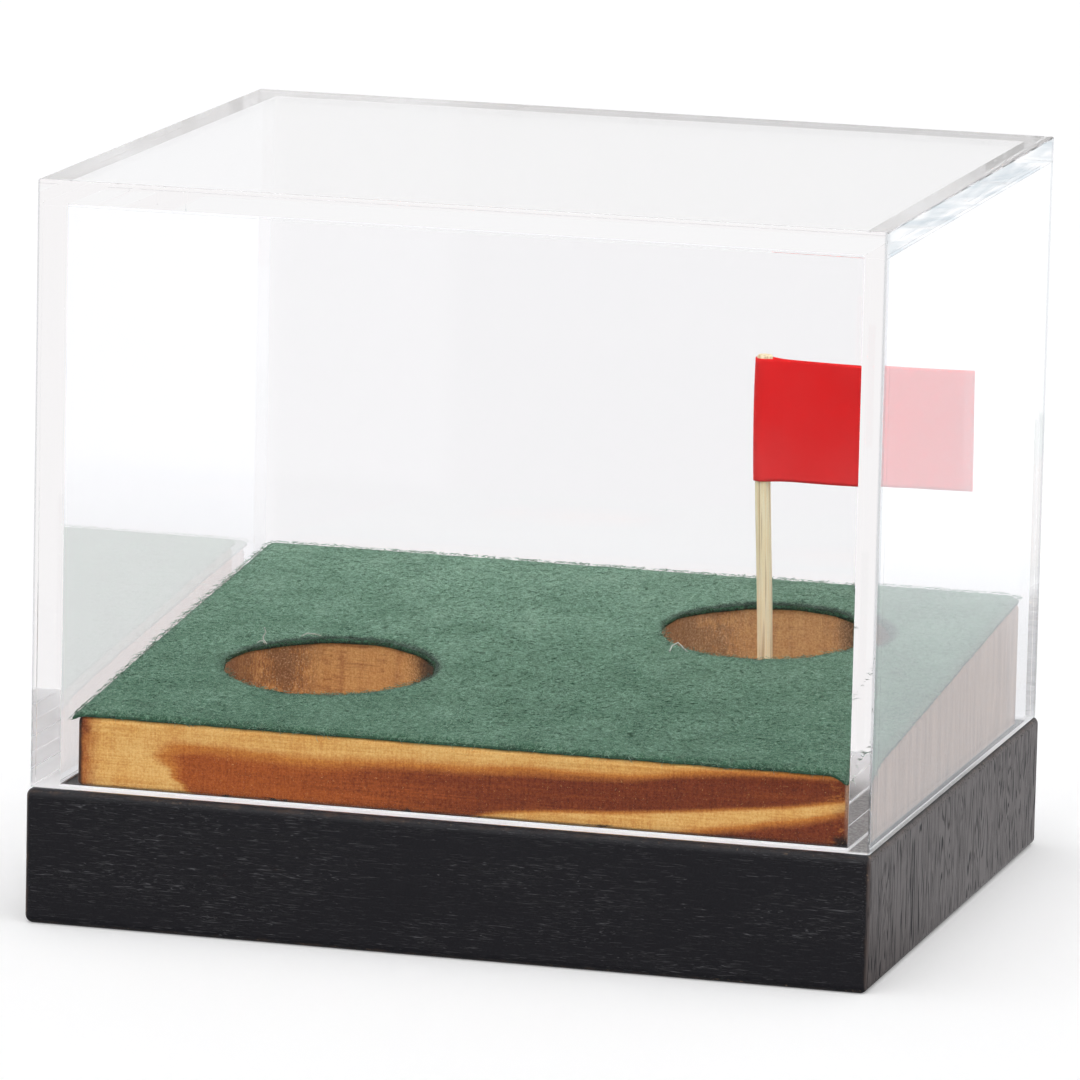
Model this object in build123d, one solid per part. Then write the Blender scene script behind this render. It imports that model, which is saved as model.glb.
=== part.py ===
from build123d import *
import math
import os

# Display case for two balls: a black base board, a sloping felt-covered block with two
# cups, a small flag standing in one of them, and a clear five-sheet cover that lifts off.
#
# Frame: origin at the centre of the base's underside, X to the right, Y to the back, Z up.
# Every length is in millimetres and every angle in degrees.

# ---------------------------------------------------------------- driving dimensions

# base board
base_width = 160.0
base_depth = 137.0
base_height = 25.4
base_edge_radius = 1.5

# lift-off cover: five flat sheets welded into a box that is open below
cover_height = 113.0
sheet_thickness = 4.76
cover_side_inset = 0.5
cover_end_inset = 1.5
sheet_edge_break = 0.3

# wedge block, set inside the cover and a little to the front right
block_front_height = 13.4
block_back_height = 24.6
block_gap_left = 2.7
block_gap_right = 0.8
block_gap_front = 1.0
block_gap_back = 3.8
block_edge_radius = 1.8
block_foot_radius = 0.8

# cups bored straight down into the block, both to the same depth
cup_diameter = 40.0
cup_floor = 3.5
left_cup_from_left = 36.4
left_cup_from_front = 39.8
right_cup_from_right = 36.8
right_cup_from_back = 36.0

# felt on the block's slope
felt_thickness = 1.0
felt_side_overhang = 0.5
felt_corner_radius = 1.5
felt_edge_radius = 0.4

# flag: a round bamboo stick in a drilled socket, with one paper strip folded round it; the
# stick leans to the left and the leaf less so
stick_diameter = 3.0
stick_lean = 1.75
stick_end_break = 0.3
socket_clearance = 0.08
socket_floor = 1.8
flag_headroom = 33.3
leaf_height = 23.6
leaf_lean = 0.4
leaf_top_drop = 0.4
leaf_wall_gap = 3.0
leaf_bow = 2.0
leaf_end_offset = 0.9
paper_thickness = 0.15
paper_slack = 0.12
paper_neck = 3.6

# two countersunk wood screws that hold the block from below
screw_diameter = 4.0
screw_head_diameter = 7.6
screw_head_recess = 0.5
screw_bite = 9.0
screw_point_length = 4.0
screw_from_side = 22.0
screw_from_end = 26.0
screw_hole_clearance = 0.25
pilot_clearance = 0.05
driver_slot_width = 1.0
driver_slot_depth = 1.6

# ---------------------------------------------------------------- derived places

cover_width = base_width - 2 * cover_side_inset
cover_depth = base_depth - 2 * cover_end_inset
wall_height = cover_height - sheet_thickness
wall_top = base_height + wall_height
inner_half_width = cover_width / 2 - sheet_thickness
inner_half_depth = cover_depth / 2 - sheet_thickness

block_left = -inner_half_width + block_gap_left
block_right = inner_half_width - block_gap_right
block_front = -inner_half_depth + block_gap_front
block_back = inner_half_depth - block_gap_back
block_rise = (block_back_height - block_front_height) / (block_back - block_front)
block_slope = math.degrees(math.atan(block_rise))

left_cup = (block_left + left_cup_from_left, block_front + left_cup_from_front)
right_cup = (block_right - right_cup_from_right, block_back - right_cup_from_back)

screw_places = [
    (block_left + screw_from_side, block_back - screw_from_end),
    (block_right - screw_from_side, block_front + screw_from_end),
]


def block_top(y):
    """Height of the block's sloping wood face above the floor at depth y."""
    return base_height + block_front_height + block_rise * (y - block_front)


cup_depth = block_top(left_cup[1]) - base_height - cup_floor
right_cup_floor_z = block_top(right_cup[1]) - cup_depth

# the stick's own frame: Z along its leaning axis, X along the leaf, origin on the cup's floor
stick_lean_sin = math.sin(math.radians(stick_lean))
stick_lean_cos = math.cos(math.radians(stick_lean))
stick_frame = Plane(
    origin=(right_cup[0], right_cup[1], right_cup_floor_z),
    x_dir=(stick_lean_cos, 0, stick_lean_sin),
    z_dir=(-stick_lean_sin, 0, stick_lean_cos),
)
socket_depth = (right_cup_floor_z - base_height - socket_floor) / stick_lean_cos
stick_rise = (wall_top - flag_headroom - right_cup_floor_z) / stick_lean_cos
leaf_top = wall_top - flag_headroom - leaf_top_drop
leaf_end = inner_half_width - leaf_wall_gap

# the leaf's own frame: Z up its fold, X along the leaf, origin on the stick's axis at its top
leaf_sin = math.sin(math.radians(leaf_lean))
leaf_cos = math.cos(math.radians(leaf_lean))
leaf_frame = Plane(
    origin=stick_frame.from_local_coords((0, 0, (leaf_top - right_cup_floor_z) / stick_lean_cos)),
    x_dir=(leaf_cos, 0, leaf_sin),
    z_dir=(-leaf_sin, 0, leaf_cos),
)
fold_width = leaf_height * math.tan(math.radians(stick_lean - leaf_lean))


# ---------------------------------------------------------------- helpers

def block_between(low, high):
    """Axis-aligned box from its lowest to its highest corner."""
    size = [b - a for a, b in zip(low, high)]
    middle = [(a + b) / 2 for a, b in zip(low, high)]
    return Pos(*middle) * Box(*size)


def upright_edges(solid):
    """Edges of a solid that stand along Z."""
    return solid.edges().filter_by(Axis.Z)


def cup_bore(centre, radius, floor_z):
    """Round bore from a level floor up through everything above it."""
    height = wall_top - floor_z
    return Pos(centre[0], centre[1], floor_z + height / 2) * Cylinder(radius, height)


# ---------------------------------------------------------------- pieces

def make_base_board():
    """Solid board with eased edges and two countersunk holes from below."""
    board = block_between(
        (-base_width / 2, -base_depth / 2, 0),
        (base_width / 2, base_depth / 2, base_height),
    )
    board = fillet(board.edges(), base_edge_radius)
    hole_radius = screw_diameter / 2 + screw_hole_clearance
    head_radius = screw_head_diameter / 2 + screw_hole_clearance
    cone_height = head_radius - hole_radius
    for x, y in screw_places:
        hole = Pos(x, y, base_height / 2) * Cylinder(hole_radius, base_height)
        recess = Pos(x, y, screw_head_recess / 2) * Cylinder(head_radius, screw_head_recess)
        cone_middle = screw_head_recess + cone_height / 2
        cone = Pos(x, y, cone_middle) * Cone(head_radius, hole_radius, cone_height)
        board = board - hole - recess - cone
    return board


def make_wedge_block():
    """Sloping block with rounded edges, two cups, the stick's socket and two pilot holes."""
    side = Polyline(
        (block_front, base_height),
        (block_back, base_height),
        (block_back, base_height + block_back_height),
        (block_front, base_height + block_front_height),
        close=True,
    )
    profile = Plane.YZ * make_face(side)
    wood = Pos(block_left, 0, 0) * extrude(profile, block_right - block_left)
    foot = wood.faces().sort_by(Axis.Z)[0].edges()
    upper = [edge for edge in wood.edges() if edge not in foot]
    wood = fillet(upper, block_edge_radius)
    wood = fillet(wood.faces().sort_by(Axis.Z)[0].edges(), block_foot_radius)
    cup_radius = cup_diameter / 2
    wood = wood - cup_bore(left_cup, cup_radius, base_height + cup_floor)
    wood = wood - cup_bore(right_cup, cup_radius, right_cup_floor_z)
    socket = Cylinder(
        stick_diameter / 2 + socket_clearance,
        socket_depth + socket_floor,
        align=(Align.CENTER, Align.CENTER, Align.MIN),
    )
    wood = wood - stick_frame * Pos(0, 0, -socket_depth) * socket
    pilot_radius = screw_diameter / 2 + pilot_clearance
    for x, y in screw_places:
        pilot = Pos(x, y, base_height + screw_bite / 2) * Cylinder(pilot_radius, screw_bite)
        wood = wood - pilot
    return wood


def make_felt_sheet():
    """Flat felt on the slope, a little wider than the wood, with a round hole at each cup."""
    rise = felt_thickness / math.cos(math.radians(block_slope))
    side = Polyline(
        (block_front, block_top(block_front)),
        (block_back, block_top(block_back)),
        (block_back, block_top(block_back) + rise),
        (block_front, block_top(block_front) + rise),
        close=True,
    )
    width = block_right - block_left + felt_side_overhang
    profile = Plane.YZ * make_face(side)
    felt = Pos(block_left - felt_side_overhang, 0, 0) * extrude(profile, width)
    corners = felt.edges().filter_by(Axis.Z)
    felt = fillet(corners, felt_corner_radius)
    top_face = felt.faces().filter_by(GeomType.PLANE).sort_by(Axis.Z)[-1]
    felt = fillet(top_face.edges(), felt_edge_radius)
    for centre in (left_cup, right_cup):
        felt = felt - cup_bore(centre, cup_diameter / 2, base_height)
    return felt


def make_fixing_screws():
    """Two countersunk wood screws with crossed driver slots, heads downwards."""
    shank_radius = screw_diameter / 2
    head_radius = screw_head_diameter / 2
    head_height = head_radius - shank_radius
    length = base_height - screw_head_recess + screw_bite - pilot_clearance
    outline = Polyline(
        (0, 0),
        (head_radius, 0),
        (shank_radius, head_height),
        (shank_radius, length - screw_point_length),
        (0, length),
        close=True,
    )
    screw = revolve(Plane.XZ * make_face(outline), Axis.Z)
    slot = Pos(0, 0, driver_slot_depth / 2) * Box(
        2 * shank_radius, driver_slot_width, driver_slot_depth
    )
    screw = screw - slot - Rot(0, 0, 90) * slot
    return Compound([Pos(x, y, screw_head_recess) * screw for x, y in screw_places])


def make_flag_stick():
    """Round stick that stands on the floor of its leaning socket."""
    stick = Cylinder(
        stick_diameter / 2,
        socket_depth + stick_rise,
        align=(Align.CENTER, Align.CENTER, Align.MIN),
    )
    stick = chamfer(stick.edges().filter_by(GeomType.CIRCLE), stick_end_break)
    return stick_frame * Pos(0, 0, -socket_depth) * stick


def make_flag_leaf():
    """Paper strip folded loosely round the stick, its halves pressed into one bowed leaf."""
    inner_radius = stick_diameter / 2 + paper_slack
    leaf_thickness = 2 * paper_thickness
    far = Pos(fold_width, 0)
    neck = Pos(paper_neck, 0) * Circle(leaf_thickness / 2)
    outer = Circle(inner_radius + paper_thickness)
    loop = make_hull(outer.edges() + (far * outer).edges() + neck.edges())
    inner = Circle(inner_radius)
    hollow = make_hull(inner.edges() + (far * inner).edges())
    reach = (leaf_end - leaf_frame.origin.X) / leaf_cos + leaf_height * leaf_sin
    bow = ThreePointArc(
        (paper_neck, 0),
        ((paper_neck + reach) / 2, -leaf_bow),
        (reach, leaf_end_offset),
    )
    profile = loop - hollow + trace(bow, leaf_thickness)
    below = 1.1 * leaf_height
    strip = leaf_frame * Pos(0, 0, -below) * extrude(profile, below + stick_diameter)
    kept = block_between(
        (right_cup[0] - reach, -inner_half_depth, leaf_top - leaf_height),
        (leaf_end, inner_half_depth, leaf_top),
    )
    return strip & kept


def make_cover_top():
    """Top sheet, laid over the edges of all four walls."""
    top = block_between(
        (-cover_width / 2, -cover_depth / 2, wall_top),
        (cover_width / 2, cover_depth / 2, wall_top + sheet_thickness),
    )
    upper = top.faces().sort_by(Axis.Z)[-1].edges()
    return chamfer(upper + upright_edges(top), sheet_edge_break)


def make_cover_end(outward):
    """Front wall (outward -1) or back wall (outward 1), as wide as the whole cover."""
    outer = outward * cover_depth / 2
    inner = outward * inner_half_depth
    wall = block_between(
        (-cover_width / 2, min(outer, inner), base_height),
        (cover_width / 2, max(outer, inner), wall_top),
    )
    outer_edges = upright_edges(wall).sort_by(Axis.Y)
    if outward < 0:
        outer_edges = outer_edges[:2]
    else:
        outer_edges = outer_edges[-2:]
    return chamfer(outer_edges, sheet_edge_break)


def make_cover_side(outward):
    """Left wall (outward -1) or right wall (outward 1), set between the front and back."""
    outer = outward * cover_width / 2
    inner = outward * inner_half_width
    return block_between(
        (min(outer, inner), -inner_half_depth, base_height),
        (max(outer, inner), inner_half_depth, wall_top),
    )


# ---------------------------------------------------------------- the assembly

pieces = {
    "base_board": make_base_board(),
    "wedge_block": make_wedge_block(),
    "felt_sheet": make_felt_sheet(),
    "fixing_screws": make_fixing_screws(),
    "flag_stick": make_flag_stick(),
    "flag_leaf": make_flag_leaf(),
    "cover_top": make_cover_top(),
    "cover_front": make_cover_end(-1),
    "cover_back": make_cover_end(1),
    "cover_left": make_cover_side(-1),
    "cover_right": make_cover_side(1),
}

os.makedirs("parts", exist_ok=True)
for name, piece in pieces.items():
    export_step(piece, f"parts/{name}.step")
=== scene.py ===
import logging
import math
from collections.abc import Iterable, Sequence
from dataclasses import dataclass, field
from enum import Enum
from typing import Any

import bmesh
import bpy
import numpy as np
from mathutils import Matrix, Vector, noise
from mathutils.geometry import delaunay_2d_cdt


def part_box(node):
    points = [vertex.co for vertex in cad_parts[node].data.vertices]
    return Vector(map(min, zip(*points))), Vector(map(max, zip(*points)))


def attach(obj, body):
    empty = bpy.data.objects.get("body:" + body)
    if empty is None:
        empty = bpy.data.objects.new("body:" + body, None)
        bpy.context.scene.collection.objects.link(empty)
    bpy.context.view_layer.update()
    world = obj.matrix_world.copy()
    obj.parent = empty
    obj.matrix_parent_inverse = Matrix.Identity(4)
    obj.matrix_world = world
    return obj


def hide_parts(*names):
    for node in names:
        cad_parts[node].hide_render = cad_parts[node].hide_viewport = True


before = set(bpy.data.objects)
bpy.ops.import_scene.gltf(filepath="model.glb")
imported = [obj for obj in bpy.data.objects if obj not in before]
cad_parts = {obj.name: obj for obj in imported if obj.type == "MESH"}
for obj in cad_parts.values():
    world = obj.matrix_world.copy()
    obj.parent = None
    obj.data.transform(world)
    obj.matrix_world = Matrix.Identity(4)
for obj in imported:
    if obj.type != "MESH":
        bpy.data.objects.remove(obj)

LOG = logging.getLogger("display_case")
MM = 0.001
Socket = bpy.types.NodeSocket
Colour = tuple[float, float, float]
Point = tuple[float, float, float]
Face = tuple[int, ...]
WHITE: Colour = (1.0, 1.0, 1.0)


class Body(Enum):
    """The bodies of the frame that a piece can ride on."""

    BASE = "base"
    COVER = "cover"
    FLAG = "flag"


class Slot(Enum):
    """The record's material slots."""

    BLACK_WOOD = "black_wood"
    PINE = "scorched_pine"
    FELT = "green_felt"
    STEEL = "zinc_steel"
    BAMBOO = "bamboo"
    PAPER = "red_paper"
    ACRYLIC = "clear_acrylic"


class Ray(Enum):
    """What a surface can ask about the ray that meets it."""

    SHADOW = "Is Shadow Ray"
    DEPTH = "Ray Depth"
    DIFFUSE_DEPTH = "Diffuse Depth"
    GLOSSY_DEPTH = "Glossy Depth"


def scaled(values: Iterable[float]) -> Vector:
    """Return a point given in millimetres as a vector in metres."""
    return Vector(value * MM for value in values)


def smooth(value: float, low: float, high: float) -> float:
    """Return 0 below low, 1 above high and a soft step between them."""
    t = min(max((value - low) / (high - low), 0.0), 1.0)
    return t * t * (3 - 2 * t)


def wander(x: float, y: float = 0.0, z: float = 0.0) -> float:
    """Return gentle repeatable noise between about -1 and 1."""
    return noise.noise(Vector((x, y, z)))


def polar(centre: Sequence[float], radius: float, angle: float) -> tuple[float, float]:
    """Return the place at a distance and an angle from a centre, seen from above."""
    return centre[0] + radius * math.cos(angle), centre[1] + radius * math.sin(angle)


def direction(turn: float, rise: float) -> Vector:
    """Return the way to a point turned right of the front and raised, in radians."""
    flat = math.cos(rise)
    return Vector((math.sin(turn) * flat, -math.cos(turn) * flat, math.sin(rise)))


class Graph:
    """A material's node tree, with short ways to add and join nodes."""

    def __init__(self, name: str, tree: bpy.types.NodeTree | None = None) -> None:
        """Start an empty tree.

        Args:
            name: The material's name.
            tree: A world's tree to fill instead of a new material's.
        """
        self.material: bpy.types.Material | None = None
        if tree is None:
            self.material = bpy.data.materials.new(name)
            self.material.use_nodes = True
            tree = self.material.node_tree
        self.tree = tree
        self.tree.nodes.clear()

    def add(self, kind: str, *values: Any, **named: Any) -> bpy.types.Node:
        """Add one node.

        Args:
            kind: The node type without its ShaderNode prefix.
            values: What goes into the first inputs, None to leave one alone.
            named: Node properties in lower case, or inputs by name with
                underscores for blanks and a capital first letter.

        Returns:
            The new node.
        """
        node = self.tree.nodes.new("ShaderNode" + kind)
        for key, value in named.items():
            if not key[0].isupper():
                setattr(node, key, value)
        for key, value in named.items():
            if key[0].isupper():
                self.feed(node.inputs[key.replace("_", " ")], value)
        for index, value in enumerate(values):
            if value is not None:
                self.feed(node.inputs[index], value)
        return node

    def feed(self, socket: Socket, value: Any) -> None:
        """Join a socket to an input, or set the input's own value.

        Args:
            socket: The input.
            value: Another node's output, a number, a vector or a colour.
        """
        if isinstance(value, bpy.types.NodeSocket):
            self.tree.links.new(value, socket)
        elif socket.type == "RGBA" and len(value) == 3:
            socket.default_value = (*value, 1.0)
        else:
            socket.default_value = value

    def place(self) -> Socket:
        """Return the point on the piece in millimetres of the row frame."""
        where = self.add("TexCoord").outputs["Object"]
        return self.vector("SCALE", where, Scale=1 / MM)

    def parts(self, vector: Socket) -> Sequence[Socket]:
        """Return a vector's three numbers."""
        return self.add("SeparateXYZ", vector).outputs

    def facing(self) -> Sequence[Socket]:
        """Return the three numbers of the surface's own normal."""
        return self.parts(self.add("TexCoord").outputs["Normal"])

    def joined(self, x: Any, y: Any, z: Any) -> Socket:
        """Return a vector of three numbers."""
        return self.add("CombineXYZ", x, y, z).outputs[0]

    def vector(self, operation: str, *values: Any, **named: Any) -> Socket:
        """Return the result of one vector sum."""
        return self.add("VectorMath", *values, operation=operation, **named).outputs[0]

    def sum(self, operation: str, *values: Any, clamp: bool = False) -> Socket:
        """Return the result of one sum on numbers."""
        return self.add("Math", *values, operation=operation, use_clamp=clamp).outputs[0]

    def chain(self, operation: str, values: Sequence[Any]) -> Socket:
        """Return numbers joined one after the other by one kind of sum.

        Args:
            operation: The kind of sum.
            values: The numbers, two or more.

        Returns:
            The result.
        """
        result = values[0]
        for value in values[1:]:
            result = self.sum(operation, result, value)
        return result

    def times(self, *values: Any) -> Socket:
        """Return the product of all the numbers."""
        return self.chain("MULTIPLY", values)

    def muladd(self, first: Any, second: Any, third: Any, clamp: bool = False) -> Socket:
        """Return first times second plus third, kept from 0 to 1 if clamped."""
        return self.sum("MULTIPLY_ADD", first, second, third, clamp=clamp)

    def minus(self, first: Any, second: Any) -> Socket:
        """Return first less second."""
        return self.sum("SUBTRACT", first, second)

    def most(self, *values: Any) -> Socket:
        """Return the largest number."""
        return self.chain("MAXIMUM", values)

    def least(self, *values: Any) -> Socket:
        """Return the smallest number."""
        return self.chain("MINIMUM", values)

    def size(self, value: Socket) -> Socket:
        """Return a number without its sign."""
        return self.sum("ABSOLUTE", value)

    def noise(
        self,
        vector: Socket,
        scale: float | Point = 1.0,
        detail: float = 2.0,
        rough: float = 0.5,
        twist: float = 0.0,
    ) -> Socket:
        """Return fractal noise from 0 to 1 with a mean of 0.5.

        Args:
            vector: Where to read it.
            scale: How many lumps fit in one unit, or how many along each axis.
            detail: How many finer layers it has.
            rough: How strong the finer layers are.
            twist: How far the lumps are swirled.

        Returns:
            The noise.
        """
        if isinstance(scale, tuple):
            vector, scale = self.vector("MULTIPLY", vector, scale), 1.0
        inputs = {"Scale": scale, "Detail": detail, "Roughness": rough, "Distortion": twist}
        return self.add("TexNoise", Vector=vector, **inputs).outputs[0]

    def step(self, value: Any, low: Any, high: Any) -> Socket:
        """Return a soft step from 0 at low to 1 at high."""
        node = self.add("MapRange", value, low, high, interpolation_type="SMOOTHSTEP")
        return node.outputs[0]

    def lines(self, value: Socket, count: float, width: float) -> Socket:
        """Return 1 on thin contour lines of value and 0 between them.

        Args:
            value: A number from 0 to 1 over the surface.
            count: How many lines lie between 0 and 1.
            width: A line's share of the space between two.

        Returns:
            The lines.
        """
        saw = self.sum("PINGPONG", self.sum("MULTIPLY", value, count * 2), 1.0)
        return self.step(saw, width, width * 0.3)

    def curve(self, value: Socket, points: Sequence[tuple[float, float]]) -> Socket:
        """Return a smooth line through points, read at value.

        Args:
            value: Where to read the line.
            points: Pairs of a place and the line's height there.

        Returns:
            The line's height.
        """
        xs, ys = zip(*points)
        low, span, reach = xs[0], xs[-1] - xs[0], max(max(ys) - min(ys), 1e-6)
        at = self.sum("DIVIDE", self.sum("SUBTRACT", value, low), span)
        node = self.add("FloatCurve", Value=at)
        line = node.mapping.curves[0]
        for x, y in points[1:-1]:
            line.points.new((x - low) / span, (y - min(ys)) / reach)
        line.points[0].location = (0.0, (ys[0] - min(ys)) / reach)
        line.points[-1].location = (1.0, (ys[-1] - min(ys)) / reach)
        node.mapping.update()
        return self.sum("MULTIPLY_ADD", node.outputs[0], reach, min(ys))

    def blend(self, share: Any, first: Any, second: Any, mode: str = "MIX") -> Socket:
        """Return two colours mixed.

        Args:
            share: How much of the second colour there is, from 0 to 1.
            first: The first colour.
            second: The second colour.
            mode: How the second colour is laid over the first.

        Returns:
            The mixed colour.
        """
        node = self.add("Mix", data_type="RGBA", blend_type=mode)
        for index, value in ((0, share), (6, first), (7, second)):
            self.feed(node.inputs[index], value)
        return node.outputs[2]

    def between(self, share: Any, first: Any, second: Any) -> Socket:
        """Return two numbers mixed by a share from 0 to 1."""
        return self.add("Mix", share, None, first, second, data_type="FLOAT").outputs[0]

    def ramp(self, value: Socket, stops: Sequence[tuple[float, Colour]]) -> Socket:
        """Return the colour at value on a ramp.

        Args:
            value: Where to read the ramp, from 0 to 1.
            stops: Pairs of a place and the colour there.

        Returns:
            The colour.
        """
        node = self.add("ValToRGB", value)
        elements = node.color_ramp.elements
        while len(elements) < len(stops):
            elements.new(0.5)
        for element, (at, colour) in zip(elements, stops):
            element.position = at
            element.color = (*colour, 1.0)
        return node.outputs[0]

    def bump(self, height: Socket, depth: float) -> Socket:
        """Return a normal bent by height, whose full range is depth in millimetres."""
        return self.add("Bump", Height=height, Distance=depth * MM, Strength=1.0).outputs[0]

    def cover(self, share: Socket, under: bpy.types.Node, over: bpy.types.Node) -> bpy.types.Node:
        """Return a shader mixed of two by share."""
        return self.add("MixShader", share, under.outputs[0], over.outputs[0])

    def ray(self, question: Ray) -> Socket:
        """Return what the ray that meets the surface answers."""
        return self.add("LightPath").outputs[question.value]

    def past(self, question: Ray, depth: int) -> Socket:
        """Return 1 for rays that are past a depth, else 0."""
        return self.step(self.ray(question), depth + 0.4, depth + 0.6)

    def unbounced(self, question: Ray) -> Socket:
        """Return 1 for rays that haven't bounced in this way yet, else 0."""
        return self.step(self.ray(question), 0.6, 0.4)

    def finish(self, surface: Socket, kind: str = "OutputMaterial") -> bpy.types.Material | None:
        """Join the surface to the output and return the material."""
        self.add(kind, surface)
        return self.material

    def principled(self, colour: Socket, **named: Any) -> bpy.types.Material:
        """Finish with one principled shader of a colour and other inputs by name."""
        return self.finish(self.add("BsdfPrincipled", colour, **named).outputs[0])


def add_piece(
    mesh: bpy.types.Mesh, materials: Sequence[bpy.types.Material]
) -> bpy.types.Object:
    """Put a mesh into the scene.

    Args:
        mesh: The mesh, whose name the piece takes.
        materials: Its materials in the order of their indices.

    Returns:
        The new object.
    """
    piece = bpy.data.objects.new(mesh.name, mesh)
    bpy.context.collection.objects.link(piece)
    for material in materials:
        mesh.materials.append(material)
    return piece


def build_mesh(
    name: str,
    points: Sequence[Point],
    faces: Sequence[Face],
    materials: Sequence[bpy.types.Material],
) -> bpy.types.Object:
    """Make a mesh piece from points in millimetres of the row frame.

    Args:
        name: The piece's name.
        points: Its points.
        faces: Its faces as indices of points.
        materials: Its materials, the first one on every face.

    Returns:
        The new object, in the scene.
    """
    mesh = bpy.data.meshes.new(name)
    mesh.from_pydata([scaled(p) for p in points], [], faces)
    mesh.validate()
    mesh.update()
    mesh.shade_smooth()
    return add_piece(mesh, materials)


def face_outwards(piece: bpy.types.Object) -> None:
    """Turn every face of a closed piece outwards.

    Args:
        piece: The piece.
    """
    work = bmesh.new()
    work.from_mesh(piece.data)
    bmesh.ops.recalc_face_normals(work, faces=work.faces)
    work.to_mesh(piece.data)
    work.free()


def ring_faces(levels: int, count: int) -> list[Face]:
    """Return the faces that join stacked closed rings.

    Args:
        levels: How many rings there are.
        count: How many points each ring has.

    Returns:
        The faces as indices of points.
    """
    faces: list[Face] = []
    for low in range(0, (levels - 1) * count, count):
        for i in range(count):
            j = (i + 1) % count
            faces.append((low + i, low + j, low + count + j, low + count + i))
    return faces


def loft(rings: Sequence[Sequence[Point]]) -> tuple[list[Point], list[Face]]:
    """Skin a stack of rings that have the same number of points, and cap both ends.

    Args:
        rings: The rings in order.

    Returns:
        The points and the faces.
    """
    count = len(rings[0])
    points = [p for ring in rings for p in ring]
    faces = ring_faces(len(rings), count)
    faces.append(tuple(reversed(range(count))))
    faces.append(tuple(range(len(points) - count, len(points))))
    return points, faces


def dress_node(name: str, material: bpy.types.Material) -> None:
    """Give a CAD node its finish in place of the plain one.

    Args:
        name: The node.
        material: Its finish.
    """
    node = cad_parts[name]
    target = bpy.data.objects[node] if isinstance(node, str) else node
    target.data.materials.clear()
    target.data.materials.append(material)


def mount(piece: bpy.types.Object, body: Body, slot: Slot, *nodes: str) -> bpy.types.Object:
    """Let a piece ride on its body and stand for its CAD nodes.

    Args:
        piece: The piece.
        body: The body it moves with.
        slot: The material slot it is finished from; not used.
        nodes: The CAD nodes it stands for.

    Returns:
        The same piece.
    """
    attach(piece, body.value)
    if nodes:
        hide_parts(*nodes)
    return piece


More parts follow.
